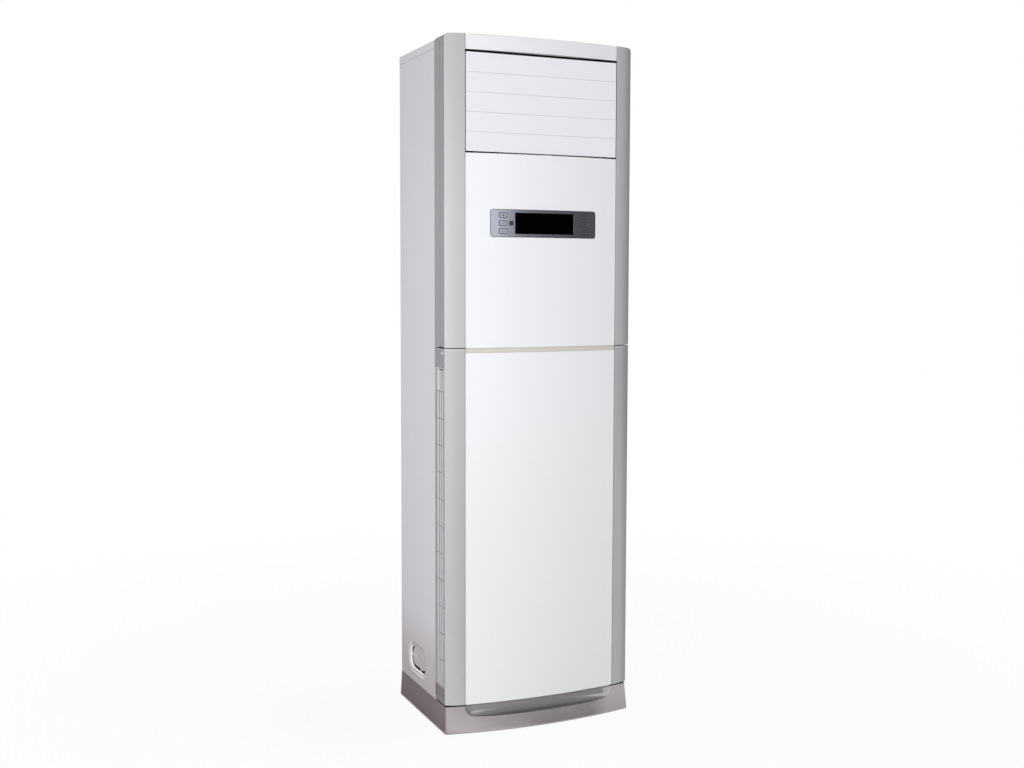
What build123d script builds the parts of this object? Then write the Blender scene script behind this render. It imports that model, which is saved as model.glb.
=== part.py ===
from build123d import *
import math
import os

# Floor standing air conditioner, indoor cabinet. Millimetres, +Z up, the front faces -Y,
# and the origin is on the floor under the middle of the cabinet.

# ---- heights, stacked up from the floor ---------------------------------------------------
PLINTH_HEIGHT = 70.0
TOE_GAP = 4.5  # shadow gap between the plinth and the lower front casing
LOWER_CASE_HEIGHT = 924.0  # plinth to the seam between the two halves
UPPER_CASE_HEIGHT = 782.0  # seam to the top of the front casing
TRIM_HEIGHT = 11.0
TOP_BAR_HEIGHT = 38.1
OUTLET_HEIGHT = 254.3
COVER_DROP = 6.0  # the metal top cover is this much lower than the front casing
COVER_SKIRT = 20.0

# ---- widths and depths --------------------------------------------------------------------
CASING_WIDTH = 527.0
COLUMN_FACE = 51.2  # width of each silver column seen from the front
CABINET_INSET = 0.6  # metal side behind the face of the plastic column
PANEL_BOW = 15.0
COLUMN_SETBACK = 16.7
COLUMN_BULGE = 2.3
COLUMN_EDGE_RADIUS = 3.0
COLUMN_TOP_RADIUS = 11.0
SIDE_STRIP_DEPTH = 68.9
SIDE_PLATE_DEPTH = 273.4
REAR_MARGIN = 4.0  # plinth behind the cabinet back
PLINTH_TOE = 6.3  # plinth in front of the panel
PLINTH_BOW = 30.0
PLINTH_RAKE = 7.0
PLINTH_SETBACK = 2.0  # plinth's top edge inside the face of the columns
PLINTH_SIDE_RAKE = 3.9
PLINTH_CORNER_RADIUS = 6.0
PLINTH_RIB_X = 88.0
SCOOP_RADIUS = 32.0
SCOOP_FORWARD = 2.0  # middle of the scoop in front of the plinth's top edge
SCOOP_OVERREACH = 8.5  # scoop past each edge of the front panel, before the bow cuts it short

# ---- walls, gaps and fits -----------------------------------------------------------------
SHEET = 1.0
PLASTIC = 2.5
PLINTH_WALL = 3.0
FLANGE = 14.0
SEAM_GAP = 0.8  # open joint between two casing pieces
COLUMN_SEAM = 2.0  # open joint between the upper and lower columns
NOTCH_HEIGHT = 4.0  # levering notch in that joint, on the side strip
NOTCH_START = 24.0  # metal seam forward to the notch
NOTCH_LENGTH = 36.0
PANEL_GAP = 0.3
SKIRT_GAP = 0.8  # under the folded skirt of the top cover
PANEL_EDGE_RADIUS = 0.8
COLUMN_GAP = 1.4  # shadow gap between the front panels and the columns
LEDGE_WIDTH = 8.0
LEDGE_ROOT = 4.0
RUNNING_FIT = 0.08  # radial
OPEN_PIVOT_FIT = 0.2  # radial, where a link's other pivots are left open
PART_GAP = 0.4

# ---- outlet: five level louvres and six upright vanes --------------------------------------
LOUVER_COUNT = 5
LOUVER_TOP_GAP = 5.6
LOUVER_BOTTOM_GAP = 3.9
LOUVER_SEAM = 0.4
LOUVER_END_GAP = 2.6
LOUVER_EDGE = 1.9  # thickness of a louvre at its edges
LOUVER_PIVOT_DEPTH = 11.0
LOUVER_EDGE_BAND = 4.7  # flat band along each long edge
LIP_HEIGHT = 3.1
LIP_WALL = 1.2
LIP_CLEARANCE = 0.3
LOUVER_PIN_RADIUS = 2.5
LOUVER_CRANK = 16.0
LOUVER_CRANK_LEAN = 45.0  # degrees above level when the louvres are shut
LOUVER_DRIVER = 3
VANE_COUNT = 6
VANE_CHORD = 44.0
VANE_WALL = 2.0
VANE_END_GAP = 2.5
VANE_PIN_RADIUS = 2.5
VANE_CRANK = 14.0
VANE_DRIVER = 3
SWEEP_CLEARANCE = 1.5  # between the lips of the open louvres and the vanes
VANE_PIN_ROOT = 6.0  # length of a pin inside its vane
CRANK_WALL = 2.5
CRANK_WIDTH = 7.0
CRANK_PIN_RADIUS = 1.8
PIN_PROUD = 0.5  # a pivot pin beyond the frame
CRANK_PIN_PROUD = 1.0  # a crank pin beyond the link
LINK_WIDTH = 8.0
LINK_WALL = 3.0
FRAME_WALL = 2.5
FRAME_EAR = 30.0
FRAME_EAR_PITCH = 140.0
STEPPER_RADIUS = 12.0
STEPPER_OFFSET = 8.0
STEPPER_LENGTH = 11.0
STEPPER_BORE_DEPTH = 6.0
STEPPER_PIN_DEPTH = 5.0
STEPPER_EAR_PITCH = 34.0
STEPPER_EAR_WIDTH = 7.0
STEPPER_HOLE_RADIUS = 1.6

# ---- control panel ------------------------------------------------------------------------
CONTROL_WIDTH = 298.0
CONTROL_HEIGHT = 70.4
CONTROL_RADIUS = 7.0
CONTROL_DROP = 174.0  # outlet sill down to the middle of the control panel
CONTROL_PROUD = 0.5
BEZEL_FLANGE = 5.0  # overlap behind the front panel
BEZEL_FLANGE_WALL = 1.8
BEZEL_RIM = 2.0
DISPLAY_WIDTH = 165.0
DISPLAY_HEIGHT = 54.0
DISPLAY_RADIUS = 3.0
WINDOW_WALL = 3.5
SENSOR_SIZE = 12.0
SENSOR_RADIUS = 1.0
SENSOR_X = -92.5
BUTTON_WIDTH = 22.0
BUTTON_HEIGHT = 13.2
BUTTON_RADIUS = 2.6
BUTTON_X = 114.5
BUTTON_PITCH = 20.2
BUTTON_PROUD = 0.7
BUTTON_EDGE = 0.5
BUTTON_FLANGE = 1.2
BUTTON_FLANGE_WALL = 0.8
BUTTON_STEM_RADIUS = 2.2
BUTTON_TRAVEL = 1.2
BOARD_WALL = 1.6
BOARD_DEPTH = 15.0  # panel face back to the front of the display board
BOARD_HEIGHT = 60.0
BOARD_INSET = 8.0
MODULE_WIDTH = 148.0
MODULE_HEIGHT = 48.0
SWITCH_SIZE = 6.0
SWITCH_DEPTH = 3.0
POST_RADIUS = 3.0
POST_PITCH = 54.0
LEFT_BUTTONS = ["fan_button", "up_button", "down_button"]
RIGHT_BUTTONS = ["mode_button", "power_button", "timer_button"]

# ---- side intake grilles -------------------------------------------------------------------
GRILLE_CELLS = 11
GRILLE_RIB = 3.5
GRILLE_SLOT_Z = 48.9  # plinth top up to the lowest slot
GRILLE_FOOT = 38.9  # lowest slotted cell down to the foot of the grille
GRILLE_FOOT_LAND = 8.0  # solid band at the foot, round the pins
GRILLE_HEAD_ROOM = 50.4  # top of the grille up to the casing seam
GRIP_HEIGHT = 60.2
GRIP_DEPTH = 2.6
GRIP_SLOT = 3.0
GRIP_RIM = 3.0
GRIP_FRONT_LAND = 2.5
GRIP_REAR_LAND = 19.0
GRILLE_WALL = 4.0
GRILLE_DEPTH = 62.5
GRILLE_REAR_LAND = 3.2
SLOTS = [(1.2, 10.6), (24.9, 7.3), (39.5, 7.3), (54.2, 7.2)]  # from the rear edge: start, width
GROOVES = [(32.0, 9.4), (53.5, 12.0)]  # upper strip, from the metal seam: start, width
GROOVE_DEPTH = 1.0
CELL_GROOVE = 2.2
CELL_GROOVE_DEPTH = 2.0
GRILLE_PIN_RADIUS = 1.2
GRILLE_PIN_LENGTH = 1.6
GRILLE_PIN_RISE = 4.0
GRILLE_FOOT_GAP = 1.2
BOSS_SIZE = 8.0
FILTER_WALL = 3.0
FILTER_MESH = 0.6
FILTER_RIM = 5.0
FILTER_INSET = 1.5  # filter inside the edge of the grille
FILTER_LAP = 1.5  # filter beyond the slotted cells
FILTER_BAYS = 6

# ---- fan, scroll and motor -----------------------------------------------------------------
FAN_X = 20.0
FAN_RISE = 330.0  # plinth top to the fan shaft
WHEEL_RADIUS = 150.0
WHEEL_WIDTH = 110.0
BLADE_DEPTH = 25.0  # wheel rim in to the eye
WHEEL_WALL = 2.5
BLADE_COUNT = 36
BLADE_WALL = 1.6
BLADE_BELLY = 5.0
BLADE_LEAD = 16.0
BLADE_RIM_INSET = 0.5
HUB_RADIUS = 17.0
HUB_LENGTH = 26.0
SHAFT_RADIUS = 6.0
SHAFT_PROUD = 9.0
SHAFT_END_GAP = 12.0
NUT_RADIUS = 11.0
NUT_WALL = 6.0
SCROLL_DEPTH = 150.0
TONGUE_GAP = 15.0  # wheel rim to the scroll at its narrowest
TONGUE_ANGLE = 100.0
SCROLL_SWEEP = 280.0
SCROLL_RATE = 0.0644  # growth of the scroll's radius per radian
SCROLL_STEPS = 10
NECK_RISE = 240.0  # shaft to the rim of the scroll's neck
NECK_LENGTH = 20.0
LEG_PITCH = 200.0
LEG_PAD = 30.0
SCROLL_REAR_GAP = 113.0  # scroll's back wall to the cabinet back
INLET_STEP = 7.0  # inlet throat inside the eye of the wheel
INLET_FLANGE = 30.0
INLET_REACH = 12.0
MOTOR_RADIUS = 58.0
MOTOR_LENGTH = 74.0
MOTOR_FLANGE = 16.0
MOTOR_FLANGE_WALL = 3.0
MOTOR_CORNER = 6.0
MOTOR_BOLT_CIRCLE = 132.0
MOTOR_HOLE_RADIUS = 2.7
MOTOR_PLATE = 190.0
MOTOR_PLATE_WALL = 2.0

# ---- cooling coil, pan, pipes --------------------------------------------------------------
COIL_SIDE_ROOM = 37.9  # metal side to the end of the fins
COIL_THICKNESS = 38.0
COIL_FOOT_RISE = 50.0  # divider to the middle of the coil's lower end
COIL_HEAD_DROP = 83.6  # outlet sill down to its upper end
COIL_FOOT_INSET = 34.15  # front corner to its lower end
COIL_HEAD_INSET = 48.0  # cabinet back to its upper end
COIL_PLATE = 1.5
COIL_PLATE_DEPTH = 46.0
COIL_EAR = 30.0
COIL_EAR_PLACE = 0.3  # share of the coil's length from its middle
TUBE_COUNT = 28
TUBE_RADIUS = 4.0
PAN_WALL = 2.0
PAN_HEIGHT = 44.0
PAN_DEPTH = 80.0
PAN_SIDE_ROOM = 30.9  # metal side to the pan
SPOUT_LENGTH = 14.0
SPOUT_BORE = 6.0
SPOUT_INSET = 13.0
HOSE_RADIUS = 9.0
HOSE_BORE = 7.0
HOSE_BEND = 24.0
HOSE_RUN = 70.0
HOSE_DROP = 25.0
GAS_PIPE_RADIUS = 8.0
GAS_PIPE_DEPTH = 70.0  # metal seam back to the pipe
GAS_PIPE_BEND = 10.0
GAS_PIPE_OFFSET = 28.0  # pipe behind the coil's return bends
LIQUID_PIPE_RADIUS = 5.0
LIQUID_PIPE_DEPTH = 35.0
LIQUID_PIPE_BEND = 8.0
PIPE_INSET = 22.0  # metal side to the middle of the pipes
PIPE_NOTCH = 32.0  # metal side in to the edge of the opening for the pipes
PIPE_END_RISE = 60.0  # knock-out up to the flare nuts
FLARE_NUT_HEIGHT = 22.0
GAS_NUT_RADIUS = 14.0
LIQUID_NUT_RADIUS = 10.0
BOX_WIDTH = 320.0
BOX_HEIGHT = 74.0
BOX_DEPTH = 62.0
BOX_LID = 3.0
BOX_LIP = 2.0
BOX_CORNER = 4.0
BOX_SHIFT = 10.0  # box to the left of the shaft
BOX_DROP = 10.0  # divider down to the box

# ---- knock-out, bracket and screws ---------------------------------------------------------
KNOCKOUT_WIDTH = 140.0
KNOCKOUT_HEIGHT = 85.0
KNOCKOUT_RISE = 67.5  # plinth top to its middle
KNOCKOUT_REAR = 135.0  # cabinet back to its middle
KNOCKOUT_RADIUS = 38.0
KNOCKOUT_RIM = 4.0
KNOCKOUT_PRESS = 1.2
KNOCKOUT_SINK = 4.0
KNOCKOUT_STEP_INSET = 9.0  # outline to the top of the sloping wall
KNOCKOUT_SLOT_INSET = 13.0  # outline to the foot of the wall, where the slot is cut
KNOCKOUT_SLOT = 6.5
KNOCKOUT_TAB = 8.0
KNOCKOUT_TABS = [(0.768, 0.03), (-0.19, -0.618)]  # shares of the half size
KNOCKOUT_SLOT_END = 0.65  # share of the half size, forward along the lower edge
KNOCKOUT_SLOT_START = 0.55  # rearward along the upper edge
KNOCKOUT_DIMPLE = (0.32, 0.06)
KNOCKOUT_DIMPLE_RADIUS = 6.0
KNOCKOUT_DIMPLE_RISE = 1.2
BRACKET_WIDTH = 90.0
BRACKET_DROP = 60.0
BRACKET_TAB = 34.0
BRACKET_WALL = 1.5
BRACKET_HOLE_RADIUS = 3.2
BRACKET_HOLE_PITCH = 60.0
BRACKET_HOLE_DROP = 42.0
SCREW_RADIUS = 1.8
SCREW_HEAD_RADIUS = 4.0
SCREW_HEAD = 1.8
SCREW_LENGTH = 8.0
SCREW_TIP_ROOM = 1.0
BACK_SCREW_INSET = 40.0  # edge of a back plate to its outer screws
STRIP_SCREW_INSET = 12.0  # front edge of the grille back to the strip screw
STRIP_SCREW_DROP = 12.6  # casing seam down to it

# ---- places worked out from the sizes above ------------------------------------------------
CASE_Z = PLINTH_HEIGHT
PANEL_Z = CASE_Z + TOE_GAP
SEAM_Z = CASE_Z + LOWER_CASE_HEIGHT
TOP_Z = SEAM_Z + UPPER_CASE_HEIGHT
COVER_Z = TOP_Z - COVER_DROP
SKIRT_Z = COVER_Z - COVER_SKIRT
OUTLET_TOP = TOP_Z - TOP_BAR_HEIGHT
OUTLET_SILL = OUTLET_TOP - OUTLET_HEIGHT
TRIM_Z = SEAM_Z - TRIM_HEIGHT
CONTROL_Z = OUTLET_SILL - CONTROL_DROP

HALF_CASING = CASING_WIDTH / 2
HALF_CABINET = HALF_CASING - CABINET_INSET
HALF_PANEL = HALF_CASING - COLUMN_FACE

DEPTH = (
    REAR_MARGIN + SIDE_PLATE_DEPTH + SIDE_STRIP_DEPTH + COLUMN_SETBACK + PANEL_BOW + PLINTH_TOE
)
WALL_Y = DEPTH / 2
BACK_Y = WALL_Y - REAR_MARGIN
SEAM_Y = BACK_Y - SIDE_PLATE_DEPTH
CORNER_Y = SEAM_Y - SIDE_STRIP_DEPTH
EDGE_Y = CORNER_Y - COLUMN_SETBACK
FRONT_Y = EDGE_Y - PANEL_BOW
BOW_RADIUS = (HALF_PANEL**2 + PANEL_BOW**2) / (2 * PANEL_BOW)
BOW_CENTRE_Y = FRONT_Y + BOW_RADIUS

FRAME_FRONT_Y = EDGE_Y + PLASTIC + 0.7
FRAME_BACK_Y = SEAM_Y - PLASTIC
CHEEK_X = HALF_PANEL + 1.2
LOUVER_Y = EDGE_Y + LOUVER_PIVOT_DEPTH
LOUVER_PITCH = (OUTLET_HEIGHT - LOUVER_TOP_GAP - LOUVER_BOTTOM_GAP) / LOUVER_COUNT
LOUVER_HALF = (LOUVER_PITCH - LOUVER_SEAM) / 2
VANE_Y = LOUVER_Y + LOUVER_HALF + LIP_HEIGHT + SWEEP_CLEARANCE + VANE_CHORD / 2
VANE_PITCH = 2 * CHEEK_X / VANE_COUNT

GRILLE_X = HALF_CASING - 0.1
GRILLE_Y1 = SEAM_Y - GRILLE_REAR_LAND
GRILLE_Y0 = GRILLE_Y1 - GRILLE_DEPTH
GRILLE_SLOT_BASE = CASE_Z + GRILLE_SLOT_Z
GRILLE_CELL_SPAN = LOWER_CASE_HEIGHT - GRILLE_SLOT_Z - GRIP_HEIGHT - GRILLE_HEAD_ROOM
GRILLE_PITCH = GRILLE_CELL_SPAN / GRILLE_CELLS
GRILLE_Z0 = GRILLE_SLOT_BASE - GRILLE_FOOT
GRIP_Z = GRILLE_SLOT_BASE + GRILLE_CELLS * GRILLE_PITCH
GRILLE_Z1 = GRIP_Z + GRIP_HEIGHT
GRILLE_PIN_X = GRILLE_X - GRILLE_WALL / 2
GRILLE_PIN_Z = GRILLE_Z0 + GRILLE_PIN_RISE

SCROLL_Y1 = BACK_Y - SCROLL_REAR_GAP
SCROLL_Y0 = SCROLL_Y1 - SCROLL_DEPTH
FAN_Y = (SCROLL_Y0 + SCROLL_Y1) / 2
FAN_Z = CASE_Z + FAN_RISE
NECK_Z = FAN_Z + NECK_RISE
WHEEL_EYE_RADIUS = WHEEL_RADIUS - BLADE_DEPTH
INLET_RADIUS = WHEEL_EYE_RADIUS - INLET_STEP
TONGUE_RADIUS = WHEEL_RADIUS + TONGUE_GAP
NECK_X0 = FAN_X - TONGUE_RADIUS * math.exp(SCROLL_RATE * math.radians(SCROLL_SWEEP))
NECK_X1 = FAN_X + TONGUE_RADIUS * math.cos(math.radians(TONGUE_ANGLE))
WHEEL_Y1 = FAN_Y + WHEEL_WIDTH / 2
WHEEL_Y0 = FAN_Y - WHEEL_WIDTH / 2
FLOOR_Z = CASE_Z + SHEET

COIL_HALF_WIDTH = HALF_CABINET - COIL_SIDE_ROOM
COIL_FOOT_Y = CORNER_Y + COIL_FOOT_INSET
COIL_FOOT_Z = NECK_Z + COIL_FOOT_RISE
COIL_HEAD_Y = BACK_Y - COIL_HEAD_INSET
COIL_HEAD_Z = OUTLET_SILL - COIL_HEAD_DROP
COIL_LEAN = math.degrees(math.atan2(COIL_HEAD_Y - COIL_FOOT_Y, COIL_HEAD_Z - COIL_FOOT_Z))
COIL_LENGTH = math.hypot(COIL_HEAD_Y - COIL_FOOT_Y, COIL_HEAD_Z - COIL_FOOT_Z)
COIL_MIDDLE = Pos(0, (COIL_FOOT_Y + COIL_HEAD_Y) / 2, (COIL_FOOT_Z + COIL_HEAD_Z) / 2)
COIL_PLACE = COIL_MIDDLE * Rot(-COIL_LEAN, 0, 0)
TUBE_PITCH = (COIL_LENGTH - COIL_THICKNESS) / (TUBE_COUNT - 1)

PAN_HALF_WIDTH = HALF_CABINET - PAN_SIDE_ROOM
PAN_FRONT_Y = CORNER_Y + 2 * PLASTIC
HOSE_X = SPOUT_INSET - PAN_HALF_WIDTH
HOSE_Y = PAN_FRONT_Y + PAN_DEPTH / 2

FAR = 900.0  # longer than the cabinet is deep or wide, for cuts that go right through


# ---- shared shapes -------------------------------------------------------------------------
def block(x0, x1, y0, y1, z0, z1):
    """Box between two opposite corners."""
    return Pos((x0 + x1) / 2, (y0 + y1) / 2, (z0 + z1) / 2) * Box(x1 - x0, y1 - y0, z1 - z0)


def rod_x(x0, x1, y, z, radius):
    """Round bar along X."""
    return Pos((x0 + x1) / 2, y, z) * Rot(0, 90, 0) * Cylinder(radius, x1 - x0)


def rod_y(x, y0, y1, z, radius):
    """Round bar along Y."""
    return Pos(x, (y0 + y1) / 2, z) * Rot(90, 0, 0) * Cylinder(radius, y1 - y0)


def rod_z(x, y, z0, z1, radius):
    """Round bar along Z."""
    return Pos(x, y, (z0 + z1) / 2) * Cylinder(radius, z1 - z0)


def elevation(sketch, y0, y1):
    """Solid whose front elevation is the sketch, from y0 back to y1."""
    return Pos(0, y1, 0) * extrude(Plane.XZ * sketch, y1 - y0)


def profile_x(sketch, x0, x1):
    """Solid whose section across X is the sketch, with its own x along Y and its y along Z."""
    return Pos(x0, 0, 0) * extrude(Plane.YZ * sketch, x1 - x0)


def behind_face(depth, z0, z1):
    """Everything deeper than this behind the bowed front face."""
    return Pos(0, BOW_CENTRE_Y, (z0 + z1) / 2) * Cylinder(BOW_RADIUS - depth, z1 - z0)


def bowed(x0, x1, z0, z1, front, back):
    """Bowed slab between two depths behind the front face."""
    ring = behind_face(front, z0, z1) - behind_face(back, z0, z1)
    return ring & block(x0, x1, FRONT_Y - PANEL_BOW, FRONT_Y + 4 * PANEL_BOW, z0, z1)


def face_y(x):
    """Y of the bowed front face at this x."""
    return BOW_CENTRE_Y - math.sqrt(BOW_RADIUS**2 - x**2)


def mirrored(solid):
    """The same piece on the other side of the cabinet."""
    return mirror(solid, about=Plane.YZ)


def soften_front(solid, radius):
    """Round the edges of the frontmost face."""
    return fillet(solid.faces().sort_by(Axis.Y)[0].edges(), radius)


# ---- plinth and metal cabinet --------------------------------------------------------------
def plinth_outline(grow, z, inset):
    """Plan of the plinth at height z: square back, bowed front."""
    half = HALF_CASING - PLINTH_SETBACK + grow * PLINTH_SIDE_RAKE - inset
    toe = -WALL_Y + (1 - grow) * PLINTH_RAKE + inset
    side = toe + PLINTH_BOW
    back = WALL_Y - inset
    front = ThreePointArc((-half, side), (0, toe), (half, side))
    sides = Polyline((half, side), (half, back), (-half, back), (-half, side))
    outline = make_face([*front.edges(), *sides.edges()])
    corners = outline.vertices().sort_by(Axis.Y)[:2]
    return Pos(0, 0, z) * fillet(corners, PLINTH_CORNER_RADIUS - inset)


def scoop(radius):
    """Round-ended trough along the top front edge of the plinth."""
    y = -WALL_Y + PLINTH_RAKE - SCOOP_FORWARD
    reach = HALF_PANEL + SCOOP_OVERREACH - SCOOP_RADIUS
    ends = [Pos(side * reach, y, PLINTH_HEIGHT) * Sphere(radius) for side in (-1, 1)]
    return rod_x(-reach, reach, y, PLINTH_HEIGHT, radius) + ends[0] + ends[1]


def plinth():
    """Moulded plastic base with a scooped toe, open below, with two cross ribs."""
    outer = loft([plinth_outline(1, 0, 0), plinth_outline(0, PLINTH_HEIGHT, 0)])
    deck_z = PLINTH_HEIGHT - PLINTH_WALL
    inner = loft([plinth_outline(1, 0, PLINTH_WALL), plinth_outline(0, deck_z, PLINTH_WALL)])
    rib = block(PLINTH_RIB_X, PLINTH_RIB_X + PLINTH_WALL, -FAR, FAR, 0, deck_z)
    ribs = inner & (rib + mirrored(rib))
    deck_hole = block(
        -HALF_PANEL, HALF_PANEL, SEAM_Y, BACK_Y - 2 * FLANGE, deck_z - 1, PLINTH_HEIGHT + 1
    )
    shell = outer - inner - deck_hole + (ribs - deck_hole)
    backing = scoop(SCOOP_RADIUS + PLINTH_WALL) & outer
    return shell + backing - scoop(SCOOP_RADIUS)


def base_pan():
    """Steel floor of the cabinet with edges turned up to take the side and back plates."""
    half = HALF_CABINET - SHEET
    y0, y1 = SEAM_Y + SHEET, BACK_Y - SHEET
    rim_z = CASE_Z + FLANGE
    floor = block(-half, half, y0, y1, CASE_Z, CASE_Z + SHEET)
    tongue = block(-HALF_PANEL, HALF_PANEL, CORNER_Y + PLASTIC, y0, CASE_Z, CASE_Z + SHEET)
    left = block(-half, -half + SHEET, y0, y1, CASE_Z, rim_z)
    back = block(-half, half, y1 - SHEET, y1, CASE_Z, rim_z)
    return floor + tongue + left + mirrored(left) + back


def knockout_outline(inset):
    """Rounded outline of the pipe knock-out, in Y and Z."""
    centre = Pos(BACK_Y - KNOCKOUT_REAR, CASE_Z + KNOCKOUT_RISE)
    return centre * RectangleRounded(
        KNOCKOUT_WIDTH - 2 * inset, KNOCKOUT_HEIGHT - 2 * inset, KNOCKOUT_RADIUS - inset
    )


def side_plate():
    """Right side: folded sheet with a flange front and back and a tab inside the cover."""
    x0, x1 = HALF_CABINET - FLANGE, HALF_CABINET
    plate_z = SKIRT_Z - SKIRT_GAP
    skin = block(x1 - SHEET, x1, SEAM_Y, BACK_Y, CASE_Z, plate_z)
    front = block(x0, x1, SEAM_Y, SEAM_Y + SHEET, CASE_Z, plate_z)
    back = block(x0, x1, BACK_Y - SHEET, BACK_Y, CASE_Z, plate_z)
    tab = block(
        x1 - 2 * SHEET, x1 - SHEET, SEAM_Y + 2 * FLANGE, BACK_Y - 2 * FLANGE,
        SKIRT_Z - FLANGE, COVER_Z - 2 * SHEET,
    )
    return skin + front + back + tab


def knockout_place(x, u, v):
    """Point in the knock-out's plane at these shares of its half size."""
    y = BACK_Y - KNOCKOUT_REAR + u * KNOCKOUT_WIDTH / 2
    return Pos(x, y, CASE_Z + KNOCKOUT_RISE + v * KNOCKOUT_HEIGHT / 2)


def sunk_shape(x0, depth, step, foot):
    """Tapering plug from the plate's face inwards, between two insets of the outline."""
    faces = [
        Pos(x, 0, 0) * (Plane.YZ * knockout_outline(inset))
        for x, inset in ((x0, step), (x0 + depth, foot))
    ]
    return loft(faces)


def knocked_side_plate():
    """Left side: the same plate with a pressed, sunk pipe knock-out, cut at its rear and foot."""
    plate = mirrored(side_plate())
    x = -HALF_CABINET
    step, foot = KNOCKOUT_STEP_INSET, KNOCKOUT_SLOT_INSET
    rim = knockout_outline(0) - knockout_outline(KNOCKOUT_RIM)
    plate += profile_x(rim, x - KNOCKOUT_PRESS, x + SHEET / 2)
    plate += sunk_shape(x + SHEET / 2, KNOCKOUT_SINK + SHEET / 2, step - SHEET, foot - SHEET)
    plate -= sunk_shape(x, KNOCKOUT_SINK, step, foot)
    disc_x = x + KNOCKOUT_SINK
    slot_path = knockout_outline(foot) - knockout_outline(foot + KNOCKOUT_SLOT)
    slot = profile_x(slot_path, disc_x - SHEET / 2, disc_x + 2 * SHEET)
    for u, v in KNOCKOUT_TABS:
        slot -= knockout_place(disc_x, u, v) * Box(4 * SHEET, KNOCKOUT_TAB, KNOCKOUT_TAB)
    middle_z = CASE_Z + KNOCKOUT_RISE
    for share, z0 in ((-KNOCKOUT_SLOT_END, 0), (KNOCKOUT_SLOT_START, middle_z)):
        end_y = BACK_Y - KNOCKOUT_REAR + share * KNOCKOUT_WIDTH / 2
        slot -= block(-FAR, FAR, -FAR, end_y, z0, FAR)
    dimple_x = disc_x + KNOCKOUT_DIMPLE_RADIUS - KNOCKOUT_DIMPLE_RISE
    dimple = knockout_place(dimple_x, *KNOCKOUT_DIMPLE) * Sphere(KNOCKOUT_DIMPLE_RADIUS)
    dome = dimple & block(x, disc_x + SHEET / 2, -FAR, FAR, 0, FAR)
    return plate - slot + dome


def back_plate(z0, z1):
    """Flat rear sheet laid on the side flanges."""
    half = HALF_CABINET - SHEET
    return block(-half, half, BACK_Y, BACK_Y + SHEET, z0, z1)


def top_cover():
    """Sheet lid with a folded skirt on the sides and back."""
    y1 = BACK_Y + SHEET
    deck = block(-HALF_CABINET, HALF_CABINET, SEAM_Y, y1, COVER_Z - SHEET, COVER_Z)
    left = block(-HALF_CABINET, SHEET - HALF_CABINET, SEAM_Y, y1, SKIRT_Z, COVER_Z)
    back = block(-HALF_CABINET, HALF_CABINET, BACK_Y, y1, SKIRT_Z, COVER_Z)
    return deck + left + mirrored(left) + back


# ---- plastic front casing ------------------------------------------------------------------
def column_arc():
    """Centre and radius of the arc that rounds a column from the panel to the corner."""
    x0, x1 = HALF_PANEL + COLUMN_GAP, HALF_CASING
    chord = math.hypot(x1 - x0, COLUMN_SETBACK)
    radius = (chord**2 / 4 + COLUMN_BULGE**2) / (2 * COLUMN_BULGE)
    back = radius - COLUMN_BULGE
    x = (x0 + x1) / 2 - back * COLUMN_SETBACK / chord
    y = (EDGE_Y + CORNER_Y) / 2 + back * (x1 - x0) / chord
    return x, y, radius


def column_block(x0, inset, z0, z1, top_radius):
    """Column filled in, its faces moved inwards by the inset, its outer top corner rounded."""
    x, y, radius = column_arc()
    x1, y1 = HALF_CASING - inset, SEAM_Y - inset
    shape = rod_z(x, y, z0, z1, radius - inset) & block(x0, x1, -FAR, y1, z0, z1)
    if inset == 0:
        edge = shape.edges().filter_by(Axis.Z).sort_by(Axis.X)[-2:].sort_by(Axis.Y)[0]
        shape = fillet(edge, COLUMN_EDGE_RADIUS)
    if top_radius > 0:
        corner = block(x1 - top_radius, x1 + 1, -FAR, FAR, z1 - top_radius, z1 + 1)
        shape -= corner - rod_y(x1 - top_radius, -FAR, FAR, z1 - top_radius, top_radius)
    return shape


def column_shell(z0, z1, closed_top):
    """Open-backed column: front, side strip and rear flange."""
    top_radius = COLUMN_TOP_RADIUS if closed_top else 0
    inner_top = z1 - PLASTIC if closed_top else z1
    inner_radius = COLUMN_TOP_RADIUS - PLASTIC if closed_top else 0
    outer = column_block(HALF_PANEL + COLUMN_GAP, 0, z0, z1, top_radius)
    inner = column_block(HALF_PANEL - FLANGE, PLASTIC, z0, inner_top, inner_radius)
    rear_gap = block(
        HALF_PANEL, HALF_CASING - FLANGE, SEAM_Y - 2 * PLASTIC, SEAM_Y + 1, z0, z1 - PLASTIC
    )
    return outer - inner - rear_gap


def panel_ledge(z0, z1):
    """Rebate on a column that the edge of a front panel lies on."""
    x0, x1 = HALF_PANEL - LEDGE_WIDTH, HALF_PANEL + LEDGE_ROOT
    root = block(HALF_PANEL + COLUMN_GAP, x1, EDGE_Y + SHEET, EDGE_Y + 2.5 * PLASTIC, z0, z1)
    return bowed(x0, x1, z0, z1, PLASTIC, 2 * PLASTIC) + root


def upper_column():
    """Silver column beside the outlet and control panel, grooved down its side strip."""
    z0 = SEAM_Z + COLUMN_SEAM / 2
    shell = column_shell(z0, TOP_Z, True)
    notch_y = SEAM_Y - NOTCH_START
    shell -= block(
        HALF_CASING - FLANGE, HALF_CASING + 1, notch_y - NOTCH_LENGTH, notch_y,
        z0 - 1, SEAM_Z - COLUMN_SEAM / 2 + NOTCH_HEIGHT,
    )
    for start, width in GROOVES:
        y1 = SEAM_Y - start
        shell -= block(HALF_CASING - GROOVE_DEPTH, HALF_CASING + 1, y1 - width, y1, z0 - 1, SKIRT_Z)
    return shell + panel_ledge(z0 + FLANGE, OUTLET_SILL - FLANGE)


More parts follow.
